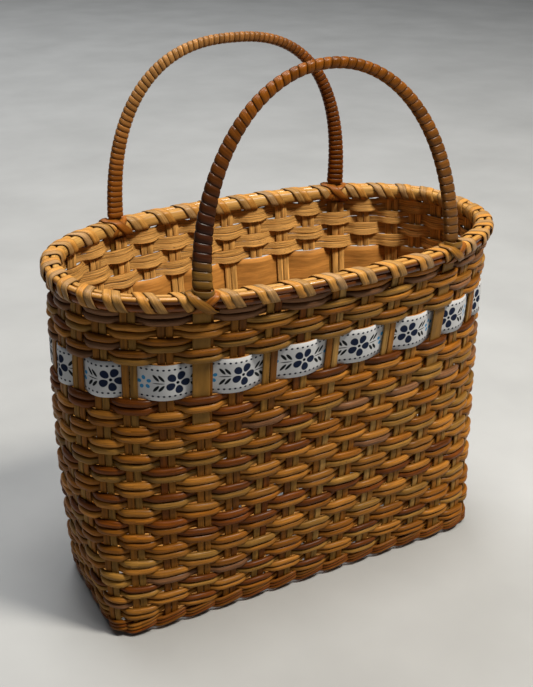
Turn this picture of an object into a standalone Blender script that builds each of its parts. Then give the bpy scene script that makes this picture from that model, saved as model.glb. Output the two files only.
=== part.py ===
"""Two-handled woven cane basket with an oblong plaited base, an oval lashed rim and a printed band.

Metres, +Z up. The origin is on the floor at the middle of the base, and the long side faces -Y.
"""

import math

import bpy
import numpy as np

# Body outline, on the middle line of the wall: the base, how far each wall leans out from it
# half way up, and how far it then leans out or in on its way to the rim
BASE_LENGTH = 0.290
BASE_DEPTH = 0.103
WAIST_END_FLARE = 0.011
WAIST_SIDE_FLARE = 0.0125
RIM_END_DRAW_IN = 0.0055
RIM_SIDE_FLARE = 0.017
WAIST_LENGTH = BASE_LENGTH + 2 * WAIST_END_FLARE
WAIST_DEPTH = BASE_DEPTH + 2 * WAIST_SIDE_FLARE
RIM_LENGTH = WAIST_LENGTH - 2 * RIM_END_DRAW_IN
RIM_DEPTH = WAIST_DEPTH + 2 * RIM_SIDE_FLARE
# Roundness of the outline: 0 has square corners, and 1 is an ellipse
BASE_ROUNDNESS_SHARE = 0.133
WAIST_ROUNDNESS_SHARE = 0.714
RIM_ROUNDNESS_SHARE = 0.8

# Room left between pieces that touch on the real basket
FIT_GAP = 0.0003

# Stakes: each is a pair of flat reeds side by side, which crosses the base and turns up both walls
LONG_SIDE_STAKES = 13
END_STAKES = 6
STAKE_WIDTH = 0.0096
STAKE_THICKNESS = 0.0012
BEND_RADIUS = 0.004
# Spacing of the stakes as shares of the way round the basket
LONG_SIDE_PITCH_SHARE = 0.0285
END_PITCH_SHARE = 0.0223
# Heights, as shares of the wall, where a stake follows the wall's curve
STAKE_NODE_SHARES = (0.07, 0.18, 0.38, 0.68, 1.0)

# Weavers: each course is a pair of half-round reeds, flat inside and ridged outside. The courses
# lie closer together at the foot and above the band
COURSE_PITCH = 0.0101
FOOT_COURSE_PITCH = 0.0080
UPPER_COURSE_PITCH = 0.0091
COURSE_GAP = 0.0006
WEAVER_THICKNESS = 0.0024
LOWER_COURSES = 17
FOOT_COURSES = 3
UPPER_COURSES = 4

# Printed band, and the wood strip that backs it
BAND_HEIGHT = 0.0246
BACKING_THICKNESS = 0.0010
RIBBON_THICKNESS = 0.0005
BAND_GAP = 0.0006

# Twined foot border of two strands that cross between the stakes
TWINE_HEIGHT = 0.0034
TWINE_THICKNESS = 0.0022
TWINE_CROSSING = 0.0020

# Rim: two round canes outside the stakes and a half-round inside, lashed together
RIM_CANE_RADIUS = 0.0024
RIM_CANE_SIDES = 6
RIM_INNER_THICKNESS = 0.0042
RIM_INNER_CHAMFER = 0.0022
LASHING_THICKNESS = 0.0008
LASHING_WIDTH_SHARE = 0.26
KNOT_WIDTH = 0.0026

# Handles: a flat core that tapers towards the crown, wound with flat cane
HANDLE_STAKES = (2, 10)
HANDLE_STRIP_WIDTH = 0.0108
HANDLE_STRIP_THICKNESS = 0.0012
HANDLE_STRIP_REACH = 0.0245
HANDLE_FOOT_WIDTH = 0.0102
HANDLE_CROWN_WIDTH = 0.0046
HANDLE_THICKNESS = 0.0034
HANDLE_FOOT_RISE = 0.0030
HANDLE_SHOULDER_SHARE = 0.6
FRONT_HANDLE_RISE = 0.117
BACK_HANDLE_RISE = 0.113
FRONT_ROUNDNESS_SHARE = 0.976
BACK_ROUNDNESS_SHARE = 0.816
FRONT_HANDLE_LEAN = 0.012
BACK_HANDLE_LEAN = 0.007
WRAP_TURNS = 24
WRAP_THICKNESS = 0.0009
WRAP_GAP = 0.0008
WRAP_SIDES = 6
ARCH_SEGMENTS = 28

# Sampling of the outline curve
OUTLINE_SAMPLES = 2880
OUTLINE_DIGITS = 12
TANGENT_STEP_SHARE = 0.004

# Heights that follow from the courses
LOWER_PITCHES = [FOOT_COURSE_PITCH] * FOOT_COURSES + [COURSE_PITCH] * (LOWER_COURSES - FOOT_COURSES)
UPPER_PITCHES = [UPPER_COURSE_PITCH] * UPPER_COURSES
COURSE_HEIGHT = COURSE_PITCH - COURSE_GAP
BASE_LEVEL = STAKE_THICKNESS * 1.5 + FIT_GAP
TWINE_LEVEL = BASE_LEVEL + BEND_RADIUS + TWINE_HEIGHT / 2 + COURSE_GAP
FIRST_COURSE_HEIGHT = TWINE_LEVEL + TWINE_CROSSING + TWINE_HEIGHT / 2 + COURSE_GAP
BAND_LEVEL = FIRST_COURSE_HEIGHT + sum(LOWER_PITCHES) + (BAND_HEIGHT + COURSE_GAP) / 2
UPPER_START = BAND_LEVEL + (BAND_HEIGHT + COURSE_GAP) / 2
RIM_BOTTOM = UPPER_START + sum(UPPER_PITCHES) + LASHING_THICKNESS + FIT_GAP
CANE_FLAT = RIM_CANE_RADIUS * math.cos(math.pi / RIM_CANE_SIDES)
RIM_TOP = RIM_BOTTOM + 4 * CANE_FLAT + FIT_GAP
RIM_FACE = STAKE_THICKNESS / 2 + FIT_GAP
STAKE_TOP = RIM_TOP - RIM_CANE_RADIUS
SHORT_STAKE_TOP = RIM_BOTTOM - HANDLE_FOOT_RISE - FIT_GAP
STRIP_OFFSET = STAKE_THICKNESS / 2 + FIT_GAP + HANDLE_STRIP_THICKNESS / 2
STRIP_END = UPPER_START - BAND_HEIGHT - COURSE_GAP - HANDLE_STRIP_REACH

STAKE_COUNT = 2 * (LONG_SIDE_STAKES + END_STAKES)

# Linear colours of the materials
HONEY = (0.38, 0.19, 0.06)
AMBER = (0.42, 0.22, 0.06)
RUSSET = (0.24, 0.09, 0.03)
OLIVE = (0.28, 0.20, 0.07)
STRAW = (0.52, 0.34, 0.14)
CHESTNUT = (0.16, 0.05, 0.02)
BAND_WHITE = (0.62, 0.68, 0.76)
COURSE_TONES = (RUSSET, HONEY, RUSSET, OLIVE, HONEY, AMBER, HONEY)


def clear_scene():
    """Remove every object of the open scene."""
    for item in list(bpy.data.objects):
        bpy.data.objects.remove(item, do_unlink=True)


def make_material(name, colour, roughness):
    """Plain Principled material in one colour."""
    material = bpy.data.materials.new(name)
    material.use_nodes = True
    shader = material.node_tree.nodes["Principled BSDF"]
    shader.inputs["Base Color"].default_value = (*colour, 1.0)
    shader.inputs["Roughness"].default_value = roughness
    shader.inputs["Metallic"].default_value = 0.0
    return material


def add_solid(name, strands, colour, roughness=0.5):
    """One object from strands, each an array of cross-sections and whether it closes on itself."""
    vertices = []
    faces = []
    for sections, closed in strands:
        sections = np.asarray(sections, dtype=float)
        stations, corners = sections.shape[:2]
        start = len(vertices)
        vertices.extend(map(tuple, sections.reshape(-1, 3)))
        for station in range(stations if closed else stations - 1):
            here = start + station * corners
            there = start + (station + 1) % stations * corners
            for corner in range(corners):
                after = (corner + 1) % corners
                faces.append((here + corner, here + after, there + after, there + corner))
        if not closed:
            last = start + (stations - 1) * corners
            faces.append(tuple(reversed(range(start, start + corners))))
            faces.append(tuple(range(last, last + corners)))
    mesh = bpy.data.meshes.new(name)
    mesh.from_pydata(vertices, [], faces)
    mesh.update()
    turn_outwards(mesh)
    mesh.materials.append(make_material(name, colour, roughness))
    item = bpy.data.objects.new(name, mesh)
    bpy.context.scene.collection.objects.link(item)
    return item


def turn_outwards(mesh):
    """Flip every face if the mesh was wound inside out."""
    mesh.calc_loop_triangles()
    corners = np.array([vertex.co for vertex in mesh.vertices])
    triangles = np.array([triangle.vertices for triangle in mesh.loop_triangles])
    first, second, third = (corners[triangles[:, side]] for side in range(3))
    volume = np.einsum("ij,ij->i", first, np.cross(second, third)).sum()
    if volume < 0:
        mesh.flip_normals()


def between(share, start, middle, end):
    """Smooth value through three sizes at shares 0, one half and 1."""
    return (start * (1 - share) * (1 - 2 * share)
            + middle * 4 * share * (1 - share)
            + end * share * (2 * share - 1))


def wall_outline(height):
    """Points round the wall at one height, from the middle of the front, and their shares."""
    share = height / RIM_TOP
    half_length = between(share, BASE_LENGTH, WAIST_LENGTH, RIM_LENGTH) / 2
    half_depth = between(share, BASE_DEPTH, WAIST_DEPTH, RIM_DEPTH) / 2
    roundness = between(share, BASE_ROUNDNESS_SHARE, WAIST_ROUNDNESS_SHARE, RIM_ROUNDNESS_SHARE)
    angle = np.linspace(-math.pi / 2, 1.5 * math.pi, OUTLINE_SAMPLES + 1)
    cosine = np.round(np.cos(angle), OUTLINE_DIGITS)
    sine = np.round(np.sin(angle), OUTLINE_DIGITS)
    x = half_length * np.sign(cosine) * np.abs(cosine) ** roundness
    y = half_depth * np.sign(sine) * np.abs(sine) ** roundness
    points = np.column_stack([x, y])
    steps = np.linalg.norm(np.diff(points, axis=0), axis=1)
    lengths = np.concatenate([[0.0], np.cumsum(steps)])
    return points, lengths / lengths[-1]


def wall_frame(share, height):
    """Point on the wall with its direction round the basket and its outward direction."""
    points, shares = wall_outline(height)

    def at(value):
        value = value % 1.0
        return np.array([np.interp(value, shares, points[:, axis]) for axis in (0, 1)])

    tangent = at(share + TANGENT_STEP_SHARE) - at(share - TANGENT_STEP_SHARE)
    tangent = tangent / np.linalg.norm(tangent)
    return at(share), tangent, np.array([tangent[1], -tangent[0]])


def stake_shares():
    """Places of the stakes round the wall: front, right end, back and left end."""
    shares = []
    sides = ((0.0, LONG_SIDE_STAKES, LONG_SIDE_PITCH_SHARE), (0.25, END_STAKES, END_PITCH_SHARE),
             (0.5, LONG_SIDE_STAKES, LONG_SIDE_PITCH_SHARE), (0.75, END_STAKES, END_PITCH_SHARE))
    for middle, count, pitch in sides:
        shares.extend(middle + (index - (count - 1) / 2) * pitch for index in range(count))
    return shares


STAKE_LEVELS = [BASE_LEVEL + BEND_RADIUS] + [share * RIM_TOP for share in STAKE_NODE_SHARES]
STAKE_FRAMES = [[wall_frame(share, level) for level in STAKE_LEVELS] for share in stake_shares()]


def stake_frame(index, height):
    """Point, direction round the basket and outward direction of a stake at one height."""
    frames = STAKE_FRAMES[index % STAKE_COUNT]
    result = []
    for part in range(3):
        values = np.array([frame[part] for frame in frames])
        result.append(np.array([np.interp(height, STAKE_LEVELS, values[:, axis]) for axis in (0, 1)]))
    return result


def stake_point(index, along, out, height):
    """Place beside a stake: along the wall, out from its middle and up."""
    point, tangent, normal = stake_frame(index, height)
    x, y = point + tangent * along + normal * out
    return (x, y, height)


def half_gap(index, height):
    """Half the distance from a stake to the next one."""
    here = stake_frame(index, height)[0]
    there = stake_frame(index + 1, height)[0]
    return np.linalg.norm(there - here) / 2


def gap_point(index, out, height):
    """Place half way between a stake and the next one, out from the wall."""
    reach = half_gap(index, height)
    here = stake_point(index, reach, out, height)
    there = stake_point(index + 1, -reach, out, height)
    return tuple((np.array(here) + np.array(there)) / 2)


def offset_to_clear(index, target, clearance, height, inside):
    """How far out or in a strand must pass a stake so that its straight run to the target clears it."""
    point, tangent, normal = stake_frame(index, height)
    step = np.array(target[:2]) - point
    along = abs(step @ tangent)
    out = step @ normal
    share = STAKE_WIDTH / 2 / along
    sign = 1.0 if inside else -1.0
    return (clearance + sign * out * share) / (1 - share)


def carries_handle(index, height):
    """Whether a handle's strip covers this stake at this height."""
    handle_stakes = [stake + side for side in (0, STAKE_COUNT // 2) for stake in HANDLE_STAKES]
    in_reach = STRIP_END - COURSE_HEIGHT < height < RIM_BOTTOM
    return index % STAKE_COUNT in handle_stakes and in_reach


def stake_clearance(index, half_thickness, height):
    """Offset from a stake's middle to a strand's middle, with room for the stake's twist."""
    upper = min(max(np.searchsorted(STAKE_LEVELS, height), 1), len(STAKE_LEVELS) - 1)
    below, above = (STAKE_FRAMES[index % STAKE_COUNT][level][1] for level in (upper - 1, upper))
    twist = abs(below[0] * above[1] - below[1] * above[0])
    return STAKE_THICKNESS / 2 + FIT_GAP + half_thickness + STAKE_WIDTH * twist / 4


def outer_pass(index, half_thickness, height):
    """Offset and half length of a strand where it passes outside a stake."""
    offset = stake_clearance(index, half_thickness, height)
    reach = STAKE_WIDTH / 2 + 2 * FIT_GAP
    if carries_handle(index, height):
        offset += HANDLE_STRIP_THICKNESS + FIT_GAP
        reach = HANDLE_STRIP_WIDTH / 2 + 2 * FIT_GAP
    return offset, reach


def woven_route(height, phase, half_thickness):
    """Stations of a strand that passes over one stake and under the next, with their offsets."""
    stations = []
    for index in range(STAKE_COUNT):
        clearance = stake_clearance(index, half_thickness, height)
        if (index + phase) % 2 == 0:
            offset, reach = outer_pass(index, half_thickness, height)
            stations.append((index, -reach, offset))
            stations.append((index, reach, offset))
            continue
        depths = []
        for neighbour, side in ((index - 1, 1), (index + 1, -1)):
            offset, reach = outer_pass(neighbour, half_thickness, height)
            target = stake_point(neighbour, side * reach, offset, height)
            depths.append(offset_to_clear(index, target, clearance, height, inside=True))
        stations.append((index, 0.0, -max(depths)))
    return stations


def woven_strand(height, route, section):
    """Cross-sections of a strand along a route, each corner placed at its own height on the wall."""
    return [[stake_point(index, along, out + step_out, height + step_up)
             for step_out, step_up in section]
            for index, along, out in route]


def weaver_section(height):
    """Flat inside and ridged outside, as a pair of half-round reeds."""
    half = WEAVER_THICKNESS / 2
    return ((-half, -height / 2), (half, 0.0), (-half, height / 2))


def flat_section(thickness, height):
    """Rectangle: thickness across the wall and height up it."""
    return ((-thickness / 2, -height / 2), (thickness / 2, -height / 2),
            (thickness / 2, height / 2), (-thickness / 2, height / 2))


def add_weavers():
    """Lower and upper courses, in turn over the even stakes and over the odd ones."""
    rows = [("lower_weaver", LOWER_PITCHES, FIRST_COURSE_HEIGHT, LOWER_COURSES + 1),
            ("upper_weaver", UPPER_PITCHES, UPPER_START, 0)]
    for name, pitches, bottom, first_phase in rows:
        for row, pitch in enumerate(pitches):
            level = bottom + pitch / 2
            route = woven_route(level, row + first_phase, WEAVER_THICKNESS / 2)
            strand = woven_strand(level, route, weaver_section(pitch - COURSE_GAP))
            tone = COURSE_TONES[row % len(COURSE_TONES)]
            add_solid(f"{name}_{row + 1:02d}", [(strand, True)], tone)
            bottom += pitch


def add_band():
    """Wood strip and printed ribbon, which pass together over the odd stakes."""
    ribbon_out = BACKING_THICKNESS / 2 + BAND_GAP + RIBBON_THICKNESS / 2
    half_stack = (BACKING_THICKNESS + BAND_GAP + RIBBON_THICKNESS) / 2
    route = woven_route(BAND_LEVEL, 1, half_stack)
    backing_shift = BACKING_THICKNESS / 2 - half_stack
    backing = [(index, along, out + backing_shift) for index, along, out in route]
    ribbon = [(index, along, out + backing_shift + ribbon_out) for index, along, out in route]
    section = flat_section(BACKING_THICKNESS, BAND_HEIGHT)
    add_solid("band_backing_strip", [(woven_strand(BAND_LEVEL, backing, section), True)], STRAW)
    section = flat_section(RIBBON_THICKNESS, BAND_HEIGHT)
    add_solid("band_ribbon", [(woven_strand(BAND_LEVEL, ribbon, section), True)], BAND_WHITE, 0.7)


def twine_route(phase):
    """Stations of one twined strand: out, up between the stakes, in, and down between the stakes."""
    stations = []
    for index in range(STAKE_COUNT):
        clearance = stake_clearance(index, TWINE_THICKNESS / 2, TWINE_LEVEL)
        outside = (index + phase) % 2 == 0
        targets = (gap_point(index - 1, 0.0, TWINE_LEVEL), gap_point(index, 0.0, TWINE_LEVEL))
        depth = max(offset_to_clear(index, target, clearance, TWINE_LEVEL, not outside)
                    for target in targets)
        rise = TWINE_CROSSING if outside else -TWINE_CROSSING
        stations.append((index, depth if outside else -depth, rise))
    return stations


def add_foot_border():
    """Two strands twined round the foot of the stakes."""
    half = TWINE_THICKNESS / 2
    section = ((-half, -TWINE_HEIGHT / 2), (half, 0.0), (-half, TWINE_HEIGHT / 2))
    for phase, name in enumerate(("foot_twine_strand_a", "foot_twine_strand_b")):
        sections = []
        for index, out, rise in twine_route(phase):
            sections.append([stake_point(index, 0.0, out + step_out, TWINE_LEVEL + step_up)
                             for step_out, step_up in section])
            sections.append([gap_point(index, step_out, TWINE_LEVEL + rise + step_up)
                             for step_out, step_up in section])
        add_solid(name, [(sections, True)], (RUSSET, OLIVE)[phase])


def strip_section(point, across, up, width, thickness):
    """Rectangle of a flat strip from its middle point and its two directions."""
    point, across, up = (np.asarray(value, dtype=float) for value in (point, across, up))
    side = across * width / 2
    face = up * thickness / 2
    return [point - side - face, point + side - face, point + side + face, point - side + face]


def stake_wall_sections(index, top):
    """Cross-sections of a stake on one wall, from the bend to its top."""
    levels = [level for level in STAKE_LEVELS if level < top] + [top]
    sections = []
    for level in levels:
        point, tangent, normal = stake_frame(index, level)
        sections.append(strip_section((*point, level), (*tangent, 0.0), (*normal, 0.0),
                                      STAKE_WIDTH, STAKE_THICKNESS))
    return sections


def bend_sections(index, direction):
    """Two cross-sections that turn a base strip up into the wall, from the base outwards."""
    point, tangent, _ = stake_frame(index, STAKE_LEVELS[0])
    across = np.array([abs(direction[1]), abs(direction[0])]) * np.sign(tangent)
    turn = BEND_RADIUS * (1 - math.sqrt(0.5))
    sections = []
    for back, rise, lean in ((BEND_RADIUS, 0.0, 0.0), (turn, turn, 0.5)):
        place = point - direction * back
        up = np.array([*(direction * math.sin(lean * math.pi / 2)), -math.cos(lean * math.pi / 2)])
        sections.append(strip_section((*place, BASE_LEVEL + rise), (*across, 0.0), up,
                                      STAKE_WIDTH, STAKE_THICKNESS))
    return sections


def stake_top(index):
    """Stakes end inside the rim, and those under a handle's strip end below it."""
    side = index % (STAKE_COUNT // 2)
    return SHORT_STAKE_TOP if side in HANDLE_STAKES else STAKE_TOP


def add_cross_stakes():
    """Strips that run straight across the base and up the front and back walls."""
    for number in range(LONG_SIDE_STAKES):
        front = number
        back = STAKE_COUNT // 2 + LONG_SIDE_STAKES - 1 - number
        near = bend_sections(front, np.array([0.0, -1.0])) + stake_wall_sections(front, stake_top(front))
        far = bend_sections(back, np.array([0.0, 1.0])) + stake_wall_sections(back, stake_top(back))
        near = [section[::-1] for section in reversed(near)]
        tone = (AMBER, OLIVE, HONEY)[number % 3]
        add_solid(f"cross_stake_{number + 1:02d}", [(match_sections(near + far), False)], tone)


def match_sections(sections):
    """Turn each cross-section so that its corners follow those of the one before."""
    matched = [np.array(sections[0])]
    for section in sections[1:]:
        section = np.array(section)
        choices = [np.roll(order, shift, axis=0) for order in (section, section[::-1])
                   for shift in range(len(section))]
        matched.append(min(choices, key=lambda choice: np.square(choice - matched[-1]).sum()))
    return matched


def add_long_stakes():
    """Strips that weave lengthways through the base and turn up both ends."""
    wave = STAKE_THICKNESS + FIT_GAP
    reach = STAKE_WIDTH / 2 + FIT_GAP
    for number in range(END_STAKES):
        right = LONG_SIDE_STAKES + number
        left = STAKE_COUNT - 1 - number
        near = bend_sections(left, np.array([-1.0, 0.0])) + stake_wall_sections(left, STAKE_TOP)
        far = bend_sections(right, np.array([1.0, 0.0])) + stake_wall_sections(right, STAKE_TOP)
        y = stake_frame(right, STAKE_LEVELS[0])[0][1]
        middle = []
        for crossing in range(LONG_SIDE_STAKES):
            x = stake_frame(crossing, STAKE_LEVELS[0])[0][0]
            over = (number + crossing) % 2 == 0
            level = BASE_LEVEL + wave if over else BASE_LEVEL - wave
            for side in (-reach, reach):
                middle.append(strip_section((x + side, y, level), (0.0, 1.0, 0.0), (0.0, 0.0, 1.0),
                                            STAKE_WIDTH, STAKE_THICKNESS))
        sections = list(reversed(near)) + middle + far
        tone = (OLIVE, AMBER)[number % 2]
        add_solid(f"end_stake_{number + 1:02d}", [(match_sections(sections), False)], tone)


def offset_outline(corners, distance):
    """Corners of a convex outline moved outwards by one distance, in the same order."""
    corners = np.asarray(corners, dtype=float)
    middle = corners.mean(axis=0)
    lines = []
    for here, there in zip(corners, np.roll(corners, -1, axis=0)):
        edge = there - here
        normal = np.array([edge[1], -edge[0]]) / np.linalg.norm(edge)
        if normal @ (here - middle) < 0:
            normal = -normal
        lines.append((normal, normal @ here + distance))
    moved = []
    for index in range(len(corners)):
        first, second = lines[index - 1], lines[index]
        moved.append(np.linalg.solve(np.array([first[0], second[0]]), np.array([first[1], second[1]])))
    return np.array(moved)


def rim_outline():
    """Outline of the rim's pieces together, out from the wall and up, from the bottom outwards."""
    outer = RIM_FACE + 2 * RIM_CANE_RADIUS
    return ((outer - RIM_CANE_RADIUS / 2, RIM_BOTTOM), (outer, RIM_BOTTOM + CANE_FLAT),
            (outer, RIM_TOP - CANE_FLAT), (outer - RIM_CANE_RADIUS / 2, RIM_TOP),
            (-RIM_FACE, RIM_TOP), (-RIM_FACE - RIM_INNER_THICKNESS, RIM_TOP - RIM_INNER_CHAMFER),
            (-RIM_FACE - RIM_INNER_THICKNESS, RIM_BOTTOM + RIM_INNER_CHAMFER), (-RIM_FACE, RIM_BOTTOM))


def rim_point(place, out, height):
    """Point on the rim at a place counted in stakes, with flats over the stakes."""
    index = math.floor(place + 0.5)
    before = np.array(gap_point(index - 1, out, height))
    after = np.array(gap_point(index, out, height))
    share = place + 0.5 - index
    return before * (1 - share) + after * share


def rim_ring(section):
    """Ring of straight runs over the stakes, for one outline of out and height values."""
    return [[gap_point(index, out, height) for out, height in section]
            for index in range(STAKE_COUNT)]


def add_rim_hoops():
    """Two round canes outside the stakes and a half-round inside them."""
    middle = RIM_FACE + RIM_CANE_RADIUS
    corners = [math.tau * side / RIM_CANE_SIDES for side in range(RIM_CANE_SIDES)]
    levels = (("rim_outer_cane_lower", RIM_BOTTOM + CANE_FLAT, RUSSET),
              ("rim_outer_cane_upper", RIM_TOP - CANE_FLAT, CHESTNUT))
    for name, level, tone in levels:
        section = [(middle + RIM_CANE_RADIUS * math.cos(corner),
                    level + RIM_CANE_RADIUS * math.sin(corner)) for corner in corners]
        add_solid(name, [(rim_ring(section), True)], tone, 0.3)
    add_solid("rim_inner_half_round", [(rim_ring(rim_outline()[4:]), True)], STRAW, 0.4)


def outline_shares(corners):
    """Share of the way round an outline at each corner, from the middle of its last side."""
    corners = np.asarray(corners, dtype=float)
    sides = np.linalg.norm(np.roll(corners, -1, axis=0) - corners, axis=1)
    lengths = np.concatenate([[sides[-1] / 2], sides[-1] / 2 + np.cumsum(sides[:-1])])
    return lengths / sides.sum()


def lashing_sections(first, last, turns):
    """Flat cane wound round the rim from one place to another, once for each gap between stakes."""
    inner = offset_outline(rim_outline(), FIT_GAP)
    outer = offset_outline(rim_outline(), FIT_GAP + LASHING_THICKNESS)
    shares = outline_shares(rim_outline())
    half_width = LASHING_WIDTH_SHARE / 2
    sections = []
    for turn in range(turns):
        for share, near, away in zip(shares, inner, outer):
            place = first + (last - first) * (turn + share) / turns
            sections.append([rim_point(place - half_width, *near), rim_point(place - half_width, *away),
                             rim_point(place + half_width, *away), rim_point(place + half_width, *near)])
    return sections


def handle_feet():
    """Stakes that carry the handles, in order round the rim."""
    return [stake + side for side in (0, STAKE_COUNT // 2) for stake in HANDLE_STAKES]


def least_turn_gap(sections, points_per_turn):
    """Least distance between one turn's edge and the facing edge of the turn after it."""
    sections = np.array(sections)
    least = math.inf
    for first, second in ((0, 3), (3, 0)):
        here = sections[:-points_per_turn, first]
        there = sections[points_per_turn:, second]
        least = min(least, np.linalg.norm(here - there, axis=1).min())
    return least


def add_rim_lashings():
    """One winding between each pair of neighbouring handle feet."""
    feet = handle_feet()
    names = ("rim_lashing_front", "rim_lashing_right", "rim_lashing_back", "rim_lashing_left")
    for name, low, high in zip(names, feet, feet[1:] + [feet[0] + STAKE_COUNT]):
        pitch = 2 * half_gap(low, RIM_BOTTOM)
        knot_edge = HANDLE_STRIP_WIDTH / 2 + 2 * FIT_GAP + KNOT_WIDTH
        room = (knot_edge + FIT_GAP) / pitch + LASHING_WIDTH_SHARE / 2
        shift = max(room - 0.5, 0.0)
        sections = lashing_sections(high - 0.5 - shift, low + 0.5 + shift, high - low - 1)
        gap = least_turn_gap(sections, len(rim_outline()))
        print(f"{name} least gap between turns {gap * 1000:.2f} mm")
        add_solid(name, [(sections, False)], AMBER, 0.35)


def add_handle_knots():
    """Crossed lashing in front of each handle foot, one unbroken cane."""
    layers = []
    for layer in range(2):
        start = FIT_GAP + layer * (LASHING_THICKNESS + FIT_GAP)
        layers.append((offset_outline(rim_outline(), start),
                       offset_outline(rim_outline(), start + LASHING_THICKNESS)))
    reach = HANDLE_STRIP_WIDTH / 2 + FIT_GAP + KNOT_WIDTH / 2
    slant = reach * HANDLE_SHOULDER_SHARE
    route = [(-reach, 5, 0), (-reach, 4, 0), (-reach, 3, 0), (-slant, 2, 0), (slant, 1, 0),
             (reach, 0, 0), (reach, 7, 0), (reach, 6, 0), (reach, 5, 0), (reach, 4, 0),
             (reach, 3, 0), (slant, 2, 1), (-slant, 1, 1), (-reach, 0, 0), (-reach, 7, 0),
             (-reach, 6, 0)]
    names = ("knot_front_left", "knot_front_right", "knot_back_right", "knot_back_left")
    for name, foot in zip(names, handle_feet()):
        sections = []
        for along, corner, layer in route:
            near, away = (outline[corner] for outline in layers[layer])
            sections.append([stake_point(foot, along - KNOT_WIDTH / 2, *near),
                             stake_point(foot, along - KNOT_WIDTH / 2, *away),
                             stake_point(foot, along + KNOT_WIDTH / 2, *away),
                             stake_point(foot, along + KNOT_WIDTH / 2, *near)])
        add_solid(name, [(sections, False)], OLIVE, 0.4)


def handle_section(width, thickness):
    """Flattened hexagon, wide across and thin through."""
    side = width / 2
    shoulder = side * HANDLE_SHOULDER_SHARE
    face = thickness / 2
    return np.array(((side, 0.0), (shoulder, face), (-shoulder, face),
                     (-side, 0.0), (-shoulder, -face), (shoulder, -face)))


def arch_stations(feet, rise, roundness, lean):
    """Middle points of the arch and its frame: across, through, width and thickness."""
    ends = [np.array(stake_point(foot, 0.0, 0.0, RIM_TOP)) for foot in feet]
    outward = [np.append(stake_frame(foot, RIM_TOP)[2], 0.0) for foot in feet]
    middle = (ends[0] + ends[1]) / 2
    half = (ends[0] - ends[1]) / 2
    through = np.sign(middle[1]) * np.array([0.0, 1.0, 0.0])
    angle = np.linspace(0.0, math.pi, OUTLINE_SAMPLES)
    share_across = np.sign(np.cos(angle)) * np.abs(np.cos(angle)) ** roundness
    share_up = np.abs(np.sin(angle)) ** roundness
    dense = (middle + np.outer(share_across, half) + np.outer(share_up * rise, (0.0, 0.0, 1.0))
             - np.outer(share_up * lean, through))
    lengths = np.concatenate([[0.0], np.cumsum(np.linalg.norm(np.diff(dense, axis=0), axis=1))])
    places = np.linspace(0.0, lengths[-1], ARCH_SEGMENTS + 1)
    points = np.column_stack([np.interp(places, lengths, dense[:, axis]) for axis in range(3)])
    share_up = np.interp(places, lengths, share_up)
    tangents = np.gradient(points, axis=0)
    tangents[0] = np.array([0.0, 0.0, 1.0])
    tangents[-1] = np.array([0.0, 0.0, -1.0])
    stations = []
    for number, (point, tangent, up_share) in enumerate(zip(points, tangents, share_up)):
        tangent = tangent / np.linalg.norm(tangent)
        foot = outward[0] if number <= ARCH_SEGMENTS / 2 else outward[1]
        facing = foot * (1 - up_share) + through * up_share
        facing = facing - tangent * (facing @ tangent)
        facing = facing / np.linalg.norm(facing)
        width = HANDLE_FOOT_WIDTH + (HANDLE_CROWN_WIDTH - HANDLE_FOOT_WIDTH) * up_share
        stations.append((point, np.cross(facing, tangent), facing, width, HANDLE_THICKNESS))
    return stations


def foot_stations(foot, side):
    """Strip from the wall up through the rim to the arch, as sections from the bottom up."""
    strip = handle_section(HANDLE_STRIP_WIDTH, HANDLE_STRIP_THICKNESS)
    jog = RIM_BOTTOM - HANDLE_FOOT_RISE
    levels = [STRIP_END] + [level for level in STAKE_LEVELS if STRIP_END < level < jog] + [jog]
    stations = [(level, STRIP_OFFSET) for level in levels] + [(RIM_BOTTOM, 0.0), (RIM_TOP, 0.0)]
    return [[stake_point(foot, side * across, offset + through, level) for across, through in strip]
            for level, offset in stations]


def add_handle(name, feet, rise, roundness, lean, tones):
    """Handle core from one wall over the arch to the other foot, and its winding."""
    stations = arch_stations(feet, rise, roundness, lean)
    lift = np.array([0.0, 0.0, HANDLE_FOOT_RISE])
    stations = [(point + lift, *rest) for point, *rest in stations]
    arch = [[point + across * x + facing * y for x, y in handle_section(width, thickness)]
            for point, across, facing, width, thickness in stations]
    sections = foot_stations(feet[0], -1) + arch + foot_stations(feet[1], 1)[::-1]
    add_solid(f"{name}_core", [(sections, False)], tones[0], 0.45)
    wrap = wrap_sections(stations)
    gap = least_turn_gap(wrap, WRAP_SIDES)
    print(f"{name}_wrap least gap between turns {gap * 1000:.2f} mm")
    add_solid(f"{name}_wrap", [(wrap, False)], tones[1], 0.3)


def wrap_sections(stations):
    """Flat cane wound round the arch, each corner over a corner of the core."""
    points = np.array([station[0] for station in stations])
    values = np.array([np.concatenate(station[:3] + (station[3:],)) for station in stations])
    lengths = np.concatenate([[0.0], np.cumsum(np.linalg.norm(np.diff(points, axis=0), axis=1))])
    pitch = lengths[-1] / (WRAP_TURNS + 1)
    half_width = (pitch - WRAP_GAP) / 2
    bend = math.pi / ARCH_SEGMENTS
    clearance = FIT_GAP + half_width * math.sin(bend)

    def corner(place, side, distance):
        row = np.array([np.interp(place, lengths, values[:, column])
                        for column in range(values.shape[1])])
        outline = offset_outline(handle_section(row[9], row[10]), distance)
        x, y = outline[side]
        return row[0:3] + row[3:6] * x + row[6:9] * y

    sections = []
    for step in range(WRAP_TURNS * WRAP_SIDES + 1):
        place = pitch / 2 + pitch * step / WRAP_SIDES
        side = step % WRAP_SIDES
        sections.append([corner(place - half_width, side, clearance),
                         corner(place - half_width, side, clearance + WRAP_THICKNESS),
                         corner(place + half_width, side, clearance + WRAP_THICKNESS),
                         corner(place + half_width, side, clearance)])
    return sections


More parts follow.
